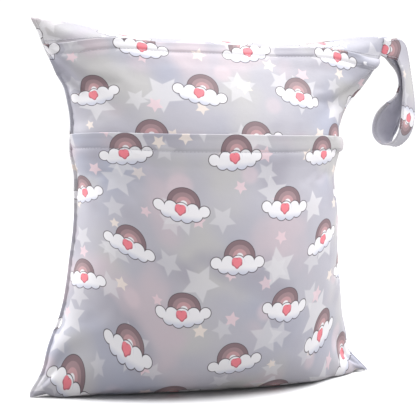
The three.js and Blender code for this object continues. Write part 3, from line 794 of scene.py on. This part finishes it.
def zip_pieces(name, edge_drop, depth):
    """The tapes and the teeth of one zip."""
    top, bottom = edge_drop + HEM_OVERLAP + LAYER_GAP, edge_drop + depth - LAYER_GAP
    rows = levels(bottom, top, 0.8)
    tape = panel(name + "_tape", FRONT, rows, 0.0, -ZIP_TAPE, lips=False, reach=TAPE_REACH)
    middle = below((top + bottom) / 2)
    centre, run, out = even_places(FRONT, middle, TOOTH_STAND, -ZIP_REACH, ZIP_REACH, TOOTH_PITCH)
    up = np.cross(out, run)
    shifted = [centre + up * side * TOOTH_ASIDE + run * side * TOOTH_PITCH / 4 for side in (-1, 1)]
    origins = np.vstack(shifted)
    tooth = rounded_bar(TOOTH_LONG, TOOTH_WIDE, TOOTH_HIGH)
    teeth = copies(name + "_teeth", tooth, origins, np.vstack([up, up]), np.vstack([out, out]))
    print(name, "has", len(origins), "teeth")
    return tape, teeth


top_tape, top_teeth = zip_pieces("top_zip", ZIP_DROP, TOP_HEM)
pocket_tape, pocket_teeth = zip_pieces("pocket_zip", PLACKET_DROP, PLACKET)

# %% [markdown]
# ## The sliders
# A slider is a flat rounded body with a small bridge, and its tab hangs from the bridge. Shut, it rests at
# the right end under its hem. Body and tab are rounded plates whose outline is a superellipse, laid along
# the zip.

# %% Sliders and tabs
SLIDER_LENGTH = 9
SLIDER_WIDTH = 5.2
SLIDER_THICKNESS = 1.3
PULL_LENGTH = 13
PULL_WIDTH = 3.4
TAB_OVERLAP = 1.5
COIL_HEIGHT = 0.6
SLIDER_PLACE = 0.9


def rounded_plate(length, width, thick, power=3.2, around=36, rings=7):
    """A plate whose outline is a superellipse and whose edge is a half circle, as rings from pole to
    pole."""
    turn = np.linspace(0, 2 * np.pi, around, endpoint=False)
    tilt = np.linspace(-np.pi / 2, np.pi / 2, rings)
    c, s = np.cos(turn), np.sin(turn)
    outline = np.stack([np.sign(c) * np.abs(c) ** (2 / power), np.sign(s) * np.abs(s) ** (2 / power)], -1)
    shrink = 1 - (1 - np.cos(tilt)) * thick / width
    x = outline[None, :, 0] * shrink[:, None] * length / 2
    y = outline[None, :, 1] * shrink[:, None] * width / 2
    z = np.repeat(np.sin(tilt)[:, None] * thick / 2, around, axis=1)
    return np.stack([x, y, z], -1).reshape(-1, 3), tube_faces(rings, around)


def join_shapes(parts):
    """Several (points, faces) shapes moved by their own offsets, as one."""
    points, faces, count = [], [], 0
    for (shape_points, shape_faces), offset in parts:
        points.append(shape_points + np.asarray(offset, float))
        faces += [[v + count for v in f] for f in shape_faces]
        count += len(shape_points)
    return np.vstack(points), faces


def slider_piece(name, edge_drop, depth):
    """A slider at the right end of its zip, its tab towards the left."""
    drop = edge_drop + (HEM_OVERLAP + depth) / 2
    body = rounded_plate(SLIDER_LENGTH, SLIDER_WIDTH, SLIDER_THICKNESS)
    bridge = rounded_plate(SLIDER_LENGTH * 0.55, 1.3, 0.9, power=2.2, around=16, rings=5)
    tab = rounded_plate(PULL_LENGTH, PULL_WIDTH, 0.8, power=2.6)
    high = SLIDER_THICKNESS / 2
    tab_at = -(SLIDER_LENGTH + PULL_LENGTH) / 2 + TAB_OVERLAP
    shape = join_shapes([(body, (0, 0, 0)), (bridge, (0.4, 0, high)), (tab, (tab_at, 0, 0.1))])
    height = COIL_HEIGHT + 2 * LAYER_GAP + high
    points, run, out = even_places(FRONT, below(drop), height, 0.5, SLIDER_PLACE, 0.5)
    at = -int(SLIDER_LENGTH)
    return copies(name, shape, points[at : at + 1], run[at : at + 1], out[at : at + 1])


top_slider = slider_piece("top_slider_body", ZIP_DROP, TOP_HEM)
pocket_slider = slider_piece("pocket_slider_body", PLACKET_DROP, PLACKET)

# %% [markdown]
# ## The hanging strap
# The strap is a folded band, sewn into the side seam at both ends. It is a flat rounded section carried
# along a curve through points near those of the CAD model, with its width turned as the loop hangs. Its
# printed side wraps over the edges, and the plain side shows within the loop.

# %% Strap path and directions
STRAP_WIDTH = 27
STRAP_THICKNESS = 2
STRAP_ROOT = 11.5
STRAP_LENGTH = 90
STRAP_SPREAD = 27
STRAP_TUCK = 2.6
STRAP_STEPS = 150
STRAP_PRINT = (2, -7)
# right, down, back, swing, lift, wide
STRAP = np.array(
    [
        (0.0, 0.0, -0.05, 0, 69, 0.6),
        (0.2, 0.023, -0.04, 5, 68, 0.66),
        (0.46, 0.02, 0.0, 16, 58, 0.78),
        (0.71, 0.04, 0.07, 30, 40, 0.9),
        (0.92, 0.14, 0.18, 39, 20, 1),
        (1.06, 0.28, 0.23, 41, 8, 1),
        (1.15, 0.45, 0.25, 38, 3, 1),
        (1.18, 0.63, 0.25, 33, 0, 1.02),
        (1.13, 0.81, 0.25, 32, -1, 1.04),
        (0.96, 0.96, 0.28, 36, -2, 1.02),
        (0.72, 1.05, 0.42, 42, -3, 1),
        (0.53, 1.05, 0.62, 36, -2, 1.02),
        (0.43, 0.93, 0.74, 10, 0, 1.06),
        (0.58, 0.78, 0.74, 0, 2, 1.1),
        (0.84, 0.64, 0.62, 12, 4, 1.06),
        (1.0, 0.51, 0.48, 34, 6, 1),
        (1.04, 0.37, 0.42, 41, 9, 1),
        (0.91, 0.22, 0.36, 39, 20, 1),
        (0.67, 0.11, 0.27, 30, 40, 0.9),
        (0.43, 0.06, 0.16, 16, 58, 0.78),
        (0.2, 0.025, 0.1, 5, 68, 0.66),
        (0.0, 0.0, 0.06, 0, 69, 0.6),
    ]
)


def strap_path():
    """Middles, width directions with their sizes, and face directions of the band at even distances."""
    ends = [skin(side, 1.0, below(STRAP_ROOT), 1.0) - np.array([0, side * WALL, 0]) for side in (FRONT, BACK)]
    root = (ends[0] + ends[1]) / 2 + np.array([2 * LAYER_GAP, 0, 0])
    sizes = np.array([STRAP_SPREAD, -STRAP_LENGTH, STRAP_WIDTH])
    points = root + (STRAP[:, :3] * sizes)[:, [0, 2, 1]]
    points[[0, -1], 0] -= STRAP_TUCK
    line, length, share = curve_through(points)
    at = np.linspace(0, length[-1], STRAP_STEPS)
    middle = np.stack([np.interp(at, length, line[:, n]) for n in range(3)], axis=-1)
    tangent = unit(np.gradient(middle, axis=0))
    place = np.interp(at, length, share)
    rows = np.linspace(0, 1, len(STRAP))
    swing, lift = (np.radians(through_rows(rows, STRAP[:, n], place)) for n in (3, 4))
    wide = through_rows(rows, STRAP[:, 5], place) * STRAP_WIDTH
    width = np.stack([np.cos(swing) * np.cos(lift), np.sin(swing) * np.cos(lift), np.sin(lift)], axis=-1)
    width = unit(width - tangent * (width * tangent).sum(-1, keepdims=True))
    return middle, width, np.cross(width, tangent), wide, at


strap_middle, strap_width, strap_face, strap_wide, strap_run = strap_path()
print("the strap is", round(strap_run[-1]), "mm long from seam to seam")

# %% Printed band and plain lining
BAND_EDGE = 0.9


def band(name, share, outer_height, inner_height, around=15):
    """A closed band along the strap. share is its part of the width, and the heights are those of its two
    faces."""
    place = np.linspace(-1, 1, around)
    thick = np.sqrt(np.clip(1 - np.abs(place) ** 8 * BAND_EDGE, 0.02, 1))
    middle_height = (outer_height + inner_height) / 2
    half = (outer_height - inner_height) / 2
    over = middle_height + half * thick
    under = middle_height - half * thick
    aside = place[None, :, None] * strap_width[:, None] * (strap_wide * share / 2)[:, None, None]
    face = strap_face[:, None]
    outer = strap_middle[:, None] + aside + face * over[None, :, None]
    inner = strap_middle[:, None] + aside + face * under[None, :, None]
    right = place[None] * (strap_wide * share / 2)[:, None]
    fabric = np.stack([right, strap_run[:, None] + 0 * right], -1)
    return sheet_mesh(name, outer, inner, fabric + np.array(STRAP_PRINT))


strap_band = band("strap_band", 1.0, STRAP_THICKNESS / 2, -STRAP_THICKNESS / 2)
strap_lining = band("strap_lining", 0.76, STRAP_THICKNESS / 2 + 0.35, STRAP_THICKNESS / 2 - 0.3, around=9)

# %% [markdown]
# ## Topstitching
# Stitches are short rounded bars of thread, sunk a little into the cloth, at an even pitch. They run along
# both hems, the strip above the top zip and both edges of the strap.

# %% Stitches
STITCH_LONG = 2.6
STITCH_PITCH = 3.3
THREAD = 0.42
THREAD_STAND = 0.05
STITCH_REACH = 0.99
STRIP_STITCHES = (ZIP_DROP - 4, 0.985, 0.08)
STRAP_STITCH_SHARE = 0.84


def strap_stitches(share, side):
    """Places, directions and outward directions of a stitched line along the strap."""
    height = side * (STRAP_THICKNESS / 2 + THREAD_STAND)
    line = strap_middle + strap_width * (strap_wide * share / 2)[:, None] + strap_face * height
    length = np.concatenate([[0], np.cumsum(np.linalg.norm(np.diff(line, axis=0), axis=1))])
    at = np.arange(STITCH_PITCH * 2, length[-1] - STITCH_PITCH * 2, STITCH_PITCH)
    read = [np.stack([np.interp(at + d, length, line[:, n]) for n in range(3)], -1) for d in (0, 0.6, -0.6)]
    out = np.stack([np.interp(at, length, strap_face[:, n]) for n in range(3)], -1) * side
    return read[0], read[1] - read[2], out


def topstitching():
    """All the stitches as one mesh."""
    lines = []
    across = np.linspace(-STITCH_REACH, STITCH_REACH, LINE_SAMPLES)
    for edge_drop, depth in HEMS:
        over, _ = hem_profile(depth - STITCH_UP, depth, across)
        along = below(edge_drop + depth - STITCH_UP)
        lines.append(even_places(FRONT, along, over + THREAD_STAND, across[0], across[-1], STITCH_PITCH))
    drop, reach, stand = STRIP_STITCHES
    lines.append(even_places(FRONT, below(drop), stand, -reach, reach, STITCH_PITCH))
    for edge in (-STRAP_STITCH_SHARE, STRAP_STITCH_SHARE):
        lines += [strap_stitches(edge, side) for side in (1, -1)]
    origins, run, out = (np.vstack(part) for part in zip(*lines))
    print(len(origins), "stitches")
    return copies("topstitching", rounded_bar(STITCH_LONG, THREAD, THREAD, sides=6), origins, run, out)


stitches = topstitching()

# %% [markdown]
# ## Writing materials as arithmetic
# A procedural print is arithmetic on the place of a point on the cloth. Blender writes that as Math nodes,
# one for each operation, so a small class lets the formulas be written as formulas and makes the nodes.

# %% Numbers that make Math nodes


def linear(red, green, blue):
    """A colour given as a screen shows it, 0 to 255, as the linear values that a shader wants."""
    share = np.array([red, green, blue]) / 255
    light = np.where(share <= 0.04045, share / 12.92, ((share + 0.055) / 1.055) ** 2.4)
    return (*light.tolist(), 1.0)


class Number:
    """A value in a node tree. Adding, multiplying and comparing such values makes Math nodes."""

    def __init__(self, tree, socket):
        self.tree, self.socket = tree, socket

    def math(self, operation, *others):
        """One Math node with this value and the others, which may be plain numbers."""
        node = self.tree.nodes.new("ShaderNodeMath")
        node.operation = operation
        for slot, value in zip(node.inputs, (self, *others)):
            if isinstance(value, Number):
                self.tree.links.new(value.socket, slot)
            else:
                slot.default_value = value
        return Number(self.tree, node.outputs[0])

    def __add__(self, other):
        return self.math("ADD", other)

    def __sub__(self, other):
        return self.math("SUBTRACT", other)

    def __mul__(self, other):
        return self.math("MULTIPLY", other)

    def __truediv__(self, other):
        return self.math("DIVIDE", other)

    def within(self, edge, soft):
        """1 where the value is under edge and 0 over it, with a soft step."""
        return self.ramp(edge + soft, edge - soft)

    def ramp(self, start, end):
        """0 at start and 1 at end, eased."""
        node = self.tree.nodes.new("ShaderNodeMapRange")
        node.interpolation_type = "SMOOTHSTEP"
        self.tree.links.new(self.socket, node.inputs["Value"])
        low, high = min(start, end), max(start, end)
        node.inputs["From Min"].default_value = low
        node.inputs["From Max"].default_value = high
        node.inputs["To Min"].default_value = 0.0 if start < end else 1.0
        node.inputs["To Max"].default_value = 1.0 if start < end else 0.0
        return Number(self.tree, node.outputs["Result"])


def joined(tree, x, y, z=0.0):
    """Three numbers as one vector socket."""
    node = tree.nodes.new("ShaderNodeCombineXYZ")
    for slot, value in zip(node.inputs, (x, y, z)):
        if isinstance(value, Number):
            tree.links.new(value.socket, slot)
        else:
            slot.default_value = value
    return node.outputs[0]


def painted(tree, under, over, mask):
    """Paints the colour over on the colour under where mask is 1. Both may be sockets or plain colours."""
    node = tree.nodes.new("ShaderNodeMix")
    node.data_type = "RGBA"
    tree.links.new(mask.socket, node.inputs[0])
    for slot, value in ((node.inputs[6], under), (node.inputs[7], over)):
        if isinstance(value, tuple):
            slot.default_value = value
        else:
            tree.links.new(value, slot)
    return node.outputs[2]


def noise(tree, where, scale, detail=2.0, roughness=0.5):
    """Soft noise over a vector in millimetres; scale is how many waves fit into a millimetre."""
    node = tree.nodes.new("ShaderNodeTexNoise")
    tree.links.new(where, node.inputs["Vector"])
    node.inputs["Scale"].default_value = scale
    node.inputs["Detail"].default_value = detail
    node.inputs["Roughness"].default_value = roughness
    return Number(tree, node.outputs["Fac"])


def dice(tree, x, y, seed):
    """A random number from 0 to 1 for every pair of whole numbers, always the same for the same pair and
    seed."""
    node = tree.nodes.new("ShaderNodeTexWhiteNoise")
    node.noise_dimensions = "3D"
    tree.links.new(joined(tree, x, y, seed), node.inputs["Vector"])
    return Number(tree, node.outputs["Value"])


# %% [markdown]
# ## The print
# The cloth is printed with pale stars on a soft wash of greys, and over them a scatter of clouds with a
# rainbow behind each. Every motif is a signed distance: below zero inside the shape and above it outside.
# The smallest of several circles' distances is a cloud, and rings of one circle's distance are the arches
# of a rainbow.

# %% Shapes as distances
STAR_POINTS = 5


def turned(x, y, angle):
    """The two numbers turned by an angle, itself a number."""
    cosine, sine = angle.math("COSINE"), angle.math("SINE")
    return x * cosine + y * sine, y * cosine - x * sine


def circle(tree, x, y, centre_x, centre_y, radius):
    """The distance from a circle: the distance from its middle less its radius."""
    node = tree.nodes.new("ShaderNodeVectorMath")
    node.operation = "DISTANCE"
    tree.links.new(joined(tree, x, y), node.inputs[0])
    node.inputs[1].default_value = (centre_x, centre_y, 0)
    return Number(tree, node.outputs["Value"]) - radius


def star(x, y, turn, size, waist):
    """Folds the plane into half a point of the star by its angle, and takes the distance from that point's
    edge."""
    wedge = math.pi / STAR_POINTS
    angle = (y.math("ARCTAN2", x) + turn).math("PINGPONG", wedge)
    radius = (x * x + y * y).math("SQRT")
    right, up = radius * angle.math("COSINE") / size, radius * angle.math("SINE") / size
    edge_x, edge_y = waist * math.cos(wedge) - 1, waist * math.sin(wedge)
    length = math.hypot(edge_x, edge_y)
    return ((right - 1) * (edge_y / length) - up * (edge_x / length)) * size


def heart(x, y, size):
    """Below zero inside the curve where (x² + y² - 1)³ equals x² y³."""
    x, y = x / size, y / size
    ring = x * x + y * y - 1
    return ring * ring * ring - x * x * y * y * y


def scattered(tree, right, up, cell, jitter, seed):
    """Cuts the cloth into square cells. Gives the place in each cell from a middle that is moved at random,
    and the cell's own two whole numbers."""
    column, row = (right / cell).math("FLOOR"), (up / cell).math("FLOOR")
    x = right - (column + 0.5) * cell - (dice(tree, column, row, seed) - 0.5) * (2 * jitter)
    y = up - (row + 0.5) * cell - (dice(tree, column, row, seed + 0.3) - 0.5) * (2 * jitter)
    return x, y, column, row


# %% Wash, stars and clouds
GROUND = linear(175, 173, 183)
WASH = (
    ("cool", linear(163, 165, 181), 0.010, 0.46, 0.68),
    ("stone", linear(184, 182, 183), 0.013, 0.48, 0.66),
    ("deep", linear(160, 157, 169), 0.018, 0.52, 0.74),
    ("rose", linear(191, 179, 187), 0.016, 0.52, 0.70),
)
PALE_STAR = linear(211, 209, 213)
STAR_CREAM = linear(226, 214, 206)
STAR_ROSE = linear(219, 195, 202)
GLOW = linear(208, 190, 197)
# Sizes of cell, jitter, smallest and largest star, share that is shown, strength and seed, in millimetres.
PALE_STARS = ((64, 15, 15, 21, 0.92, 0.80, 1.7), (47, 12, 8, 13, 0.85, 0.66, 12.4))
CLOUD = linear(228, 226, 230)
CLOUD_SHADE = linear(196, 198, 212)
OUTLINE = linear(62, 52, 60)
ARCHES = (
    (13.6, linear(126, 104, 110)),
    (9.8, linear(152, 126, 131)),
    (6.2, linear(186, 146, 150)),
    (3.0, CLOUD),
)
HEART = linear(226, 122, 134)
HEART_EDGE = linear(176, 92, 106)
HEART_SIZE = 3.8
MOTIF_WIDE, MOTIF_HIGH = 47, 44
CLOUD_PUFFS = (
    (-19, -4.5, 4.8), (-12.5, -8, 5.4), (-4.5, -9.5, 5.6), (4.2, -9.6, 5.6),
    (12.3, -8.2, 5.4), (19, -4.6, 4.9), (-9, -4, 5.5), (0, -4.5, 6), (9, -4, 5.5),
)


def wash(tree, where):
    """Broad soft patches of four greys, as in a watercolour."""
    colour = GROUND
    for count, (name, tone, scale, start, end) in enumerate(WASH):
        node = tree.nodes.new("ShaderNodeVectorMath")
        node.label = name
        node.operation = "ADD"
        tree.links.new(where, node.inputs[0])
        node.inputs[1].default_value = (137 * count, 71 * count, 0)
        colour = painted(tree, colour, tone, noise(tree, node.outputs[0], scale, 2, 0.4).ramp(start, end))
    return colour


def stars(tree, colour, right, up):
    """Soft round glows, large and middling pale stars, and small cream and rose ones."""
    x, y, column, row = scattered(tree, right + 11, up + 29, 58, 20, 21.5)
    radius = dice(tree, column, row, 7.7) * 5 + 6
    glow = ((x * x + y * y).math("SQRT") - radius).within(0, 3)
    colour = painted(tree, colour, GLOW, glow * dice(tree, column, row, 2.2).ramp(0.35, 0.9) * 0.55)
    for cell, jitter, least, most, share, strength, seed in PALE_STARS:
        x, y, column, row = scattered(tree, right + seed * 3, up, cell, jitter, seed)
        size = dice(tree, column, row, seed + 3.4) * (most - least) + least
        shape = star(x, y, dice(tree, column, row, seed + 1.2) * 6.28, size, waist=0.5).within(0, 0.7)
        shown = dice(tree, column, row, seed + 5.6).math("LESS_THAN", share)
        faint = dice(tree, column, row, seed + 7.8) * 0.35 + 0.65
        colour = painted(tree, colour, PALE_STAR, shape * shown * faint * strength)
    x, y, column, row = scattered(tree, right + 19, up + 7, 37, 12, 8.3)
    size = dice(tree, column, row, 6.6) * 3.4 + 4.6
    shape = star(x, y, dice(tree, column, row, 4.2) * 6.28, size, waist=0.52).within(0, 0.4) * 0.85
    rose = dice(tree, column, row, 9.9).ramp(0.5, 0.55)
    shown = dice(tree, column, row, 3.3).ramp(0.18, 0.2)
    return painted(tree, colour, painted(tree, STAR_CREAM, STAR_ROSE, rose), shape * shown)


def motif_places(tree, right, up):
    """A brick pattern: the nearest of the points at whole steps along the two diagonals of a rectangle.
    Every motif leans a little, and every other one looks the other way."""
    a = (right / (2 * MOTIF_WIDE) + up / (2 * MOTIF_HIGH)).math("ROUND")
    b = (right / (2 * MOTIF_WIDE) - up / (2 * MOTIF_HIGH)).math("ROUND")
    x = right - (a + b) * MOTIF_WIDE
    y = up - (a - b) * MOTIF_HIGH
    flip = dice(tree, a, b, 0.7).math("GREATER_THAN", 0.5) * 2 - 1
    lean = (dice(tree, a, b, 1.9) - 0.5) * 0.5
    x, y = turned(x, y, lean)
    return x * flip, y


def motif(tree, colour, x, y):
    """Rings about one point, each painted on the last, are the arches of a rainbow. A scalloped cloud hides
    their lower half, and a small heart lies on it."""
    rings = circle(tree, x, y, -1.5, 0.5, 0)
    colour = painted(tree, colour, OUTLINE, rings.within(ARCHES[0][0] + 0.5, 0.3))
    for radius, tone in ARCHES:
        colour = painted(tree, colour, tone, rings.within(radius, 0.3))
    cloud = circle(tree, x, y, *CLOUD_PUFFS[0])
    for puff in CLOUD_PUFFS[1:]:
        cloud = cloud.math("MINIMUM", circle(tree, x, y, *puff))
    colour = painted(tree, colour, OUTLINE, cloud.within(0.45, 0.3))
    body = painted(tree, CLOUD_SHADE, CLOUD, y.ramp(-14, -8))
    for puff in CLOUD_PUFFS[-3:]:
        curl = circle(tree, x, y, *puff).math("ABSOLUTE").within(0.1, 0.25)
        body = painted(tree, body, CLOUD_SHADE, curl * (y - puff[1] * 1.1).ramp(-1, 1.5))
    colour = painted(tree, colour, body, cloud.within(-0.2, 0.3))
    charm = heart(x - 1, y + 5.2, HEART_SIZE)
    colour = painted(tree, colour, HEART_EDGE, charm.within(0.16, 0.05))
    return painted(tree, colour, HEART, charm.within(0, 0.04))


# %% [markdown]
# ## Materials
# The printed cloth is a knit with a thin laminate behind it: soft, a little satiny, with a fine rib. The
# shader's plain values stand on its own sockets, and only what varies over the cloth is linked.

# %% Material helpers


def new_material(name, roughness, sheen=0.0, metallic=0.0, coat=0.0):
    """A material with a Principled shader whose even values are set, and its tree."""
    made = bpy.data.materials.new(name)
    made.use_nodes = True
    shader = made.node_tree.nodes["Principled BSDF"]
    shader.inputs["Roughness"].default_value = roughness
    shader.inputs["Sheen Weight"].default_value = sheen
    shader.inputs["Sheen Roughness"].default_value = 0.4
    shader.inputs["Metallic"].default_value = metallic
    shader.inputs["Coat Weight"].default_value = coat
    return made, made.node_tree, shader


def fabric_place(tree):
    """Right and up on the cloth in millimetres, from the piece's own UV map."""
    node = tree.nodes.new("ShaderNodeUVMap")
    node.uv_map = "fabric"
    split = tree.nodes.new("ShaderNodeSeparateXYZ")
    tree.links.new(node.outputs[0], split.inputs[0])
    right, up = Number(tree, split.outputs[0]) * 1000, Number(tree, split.outputs[1]) * 1000
    return right, up


def object_place(tree):
    """The place on the object in millimetres."""
    node = tree.nodes.new("ShaderNodeTexCoord")
    mapping = tree.nodes.new("ShaderNodeMapping")
    mapping.inputs["Scale"].default_value = (1000, 1000, 1000)
    tree.links.new(node.outputs["Object"], mapping.inputs["Vector"])
    return mapping.outputs[0]


def raised(tree, shader, height, depth_mm, strength):
    """Bump from a height between 0 and 1 that stands for so many millimetres."""
    node = tree.nodes.new("ShaderNodeBump")
    node.inputs["Strength"].default_value = strength
    node.inputs["Distance"].default_value = depth_mm * MM
    tree.links.new(height.socket, node.inputs["Height"])
    tree.links.new(node.outputs[0], shader.inputs["Normal"])


def knit(right, up, pitch):
    """The rib of a fine knit: a row of columns, each with its loops leaning one way and the other."""
    rib = (right * (2 * math.pi / pitch)).math("SINE")
    loop = (up * (2 * math.pi / pitch) + rib * 1.2).math("SINE")
    return rib * 0.3 + loop * 0.2 + 0.5


# %% Cloth, lining, thread and zip


def printed_cloth():
    """The printed laminate."""
    made, tree, shader = new_material("printed_cloth", 0.5, sheen=0.12)
    right, up = fabric_place(tree)
    where = joined(tree, right, up)
    colour = stars(tree, wash(tree, where), right, up)
    x, y = motif_places(tree, right, up)
    colour = motif(tree, colour, x, y)
    tree.links.new(colour, shader.inputs["Base Color"])
    gloss = noise(tree, where, 0.05, 2).math("MULTIPLY_ADD", 0.16, 0.42)
    tree.links.new(gloss.socket, shader.inputs["Roughness"])
    crumple = noise(tree, where, 0.12, 3, 0.6)
    raised(tree, shader, knit(right, up, 0.7) * 0.25 + crumple, 0.35, 0.5)
    return made


def plain_cloth(name, tone, dark, pitch, roughness):
    """Cloth of one colour with faint patches and a rib."""
    made, tree, shader = new_material(name, roughness, sheen=0.15)
    right, up = fabric_place(tree)
    where = joined(tree, right, up)
    colour = painted(tree, tone, dark, noise(tree, where, 0.08, 3).ramp(0.35, 0.75))
    tree.links.new(colour, shader.inputs["Base Color"])
    raised(tree, shader, knit(right, up, pitch), 0.12, 0.6)
    return made


def moulded(name, tone, dark, roughness, metallic, coat, grain):
    """Thread, teeth and sliders: one colour with fine variation over the object, and a fine grain."""
    made, tree, shader = new_material(name, roughness, metallic=metallic, coat=coat)
    where = object_place(tree)
    colour = painted(tree, tone, dark, noise(tree, where, grain, 3).ramp(0.4, 0.7))
    tree.links.new(colour, shader.inputs["Base Color"])
    raised(tree, shader, noise(tree, where, grain * 3, 2), 0.05, 0.4)
    return made


PRINT = printed_cloth()
LINING = plain_cloth("plain_lining", linear(188, 187, 198), linear(174, 173, 186), 0.6, 0.45)
TAPE = plain_cloth("zip_tape", linear(176, 175, 188), linear(164, 162, 176), 0.9, 0.75)
TEETH = moulded("zip_teeth", linear(214, 212, 220), linear(198, 196, 206), 0.3, 0.0, 0.2, 0.6)
SLIDER = moulded("slider_finish", linear(222, 221, 226), linear(200, 199, 206), 0.28, 0.0, 0.3, 0.4)
THREAD_FINISH = moulded("thread", linear(206, 204, 213), linear(180, 178, 190), 0.6, 0.0, 0.0, 1.5)

# %% [markdown]
# ## What each piece rides on and stands for
# Nothing on the bag moves on a joint, so every piece rides on the one body. Each says which plain CAD piece
# it stands for and which finish it takes.

# %% Dress, ride and replace
DRESS = (
    (pocket_cloth, PRINT, "print", ("pocket_panel",)),
    (front_cloth, PRINT, "print", ("front_panel",)),
    (back_cloth, PRINT, "print", ("back_panel",)),
    (strip_cloth, PRINT, "print", ("top_strip",)),
    (strap_band, PRINT, "print", ("hanging_strap",)),
    (strap_lining, LINING, "inside", ("hanging_strap",)),
    (pocket_wall, LINING, "inside", ("divider_panel",)),
    (top_tape, TAPE, "zip", ("top_zip",)),
    (pocket_tape, TAPE, "zip", ("pocket_zip",)),
    (top_teeth, TEETH, "zip", ("top_zip",)),
    (pocket_teeth, TEETH, "zip", ("pocket_zip",)),
    (top_slider, SLIDER, "slider", ("top_slider",)),
    (pocket_slider, SLIDER, "slider", ("pocket_slider",)),
    (stitches, THREAD_FINISH, "print", ()),
)
for piece, finish, slot, nodes in DRESS:
    piece.data.materials.append(finish)
    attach(piece, "root")
    if nodes:
        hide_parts(*nodes)

FLAT_HEIGHT = CLOTH_HEIGHT * MM
MIDDLE[BACK][1][-1] * MM
FLAT_HEIGHT - 0.116

# %% [markdown]
# ## Floor and light
# The photograph is a product picture on white. A pale floor and a bright even surround give the same. Three
# soft lamps, from behind on the left, from the right and from high up, light the top and both sides more
# than the belly. The floor throws less light back than it shows to the camera, which keeps the lower half
# as grey as it should be.

# %% Floor, lamps and surround
FLOOR_BOUNCE = 0.41
LAMPS = (
    ("left_lamp", -114, 30, 3.7, 40),
    ("right_lamp", 78, 42, 1.7, 50),
    ("top_lamp", 66, 65, 3.7, 60),
)


def floor():
    """A wide pale disc, which is darker for every ray but the camera's."""
    turn = np.linspace(0, 2 * np.pi, 64, endpoint=False)
    points = np.stack([np.cos(turn) * 6000, np.sin(turn) * 6000, 0 * turn - 0.3], -1)
    made = put_mesh("floor", points, [list(range(64))])
    finish, tree, shader = new_material("floor_finish", 0.7)
    patches = noise(tree, object_place(tree), 0.004, 2)
    colour = painted(tree, linear(248, 248, 249), linear(243, 243, 245), patches)
    tree.links.new(colour, shader.inputs["Base Color"])
    dim = tree.nodes.new("ShaderNodeBsdfDiffuse")
    dim.inputs["Color"].default_value = (FLOOR_BOUNCE, FLOOR_BOUNCE, FLOOR_BOUNCE, 1)
    path = tree.nodes.new("ShaderNodeLightPath")
    mixed = tree.nodes.new("ShaderNodeMixShader")
    tree.links.new(path.outputs["Is Camera Ray"], mixed.inputs[0])
    tree.links.new(dim.outputs[0], mixed.inputs[1])
    tree.links.new(shader.outputs[0], mixed.inputs[2])
    tree.links.new(mixed.outputs[0], tree.nodes["Material Output"].inputs["Surface"])
    made.data.materials.append(finish)


def soft_sun(name, azimuth, elevation, strength, softness):
    """A lamp that is far away, so that it lights the whole floor alike. Softness is its width in the sky in
    degrees. Azimuth 0 is in front of the bag, and 90 is at its right side."""
    data = bpy.data.lights.new(name, "SUN")
    data.energy = strength
    data.angle = math.radians(softness)
    made = bpy.data.objects.new(name, data)
    a, e = math.radians(azimuth), math.radians(elevation)
    towards = Vector((math.sin(a) * math.cos(e), -math.cos(a) * math.cos(e), math.sin(e)))
    made.rotation_mode = "QUATERNION"
    made.rotation_quaternion = (-towards).to_track_quat("-Z", "Y")
    bpy.context.scene.collection.objects.link(made)


def white_surround(lit, seen):
    """An even white surround, which is brighter where it is looked at than where it lights."""
    world = bpy.data.worlds.new("surround")
    world.use_nodes = True
    tree = world.node_tree
    sky = tree.nodes["Background"]
    sky.inputs["Color"].default_value = (1, 1, 1, 1)
    sky.inputs["Strength"].default_value = lit
    backdrop = tree.nodes.new("ShaderNodeBackground")
    backdrop.inputs["Color"].default_value = (1, 1, 1, 1)
    backdrop.inputs["Strength"].default_value = seen
    path = tree.nodes.new("ShaderNodeLightPath")
    mixed = tree.nodes.new("ShaderNodeMixShader")
    tree.links.new(path.outputs["Is Camera Ray"], mixed.inputs[0])
    tree.links.new(sky.outputs[0], mixed.inputs[1])
    tree.links.new(backdrop.outputs[0], mixed.inputs[2])
    tree.links.new(mixed.outputs[0], tree.nodes["World Output"].inputs["Surface"])
    bpy.context.scene.world = world


floor()
for lamp in LAMPS:
    soft_sun(*lamp)
white_surround(0.41, 1.1)
bpy.context.scene.view_settings.view_transform = "Standard"
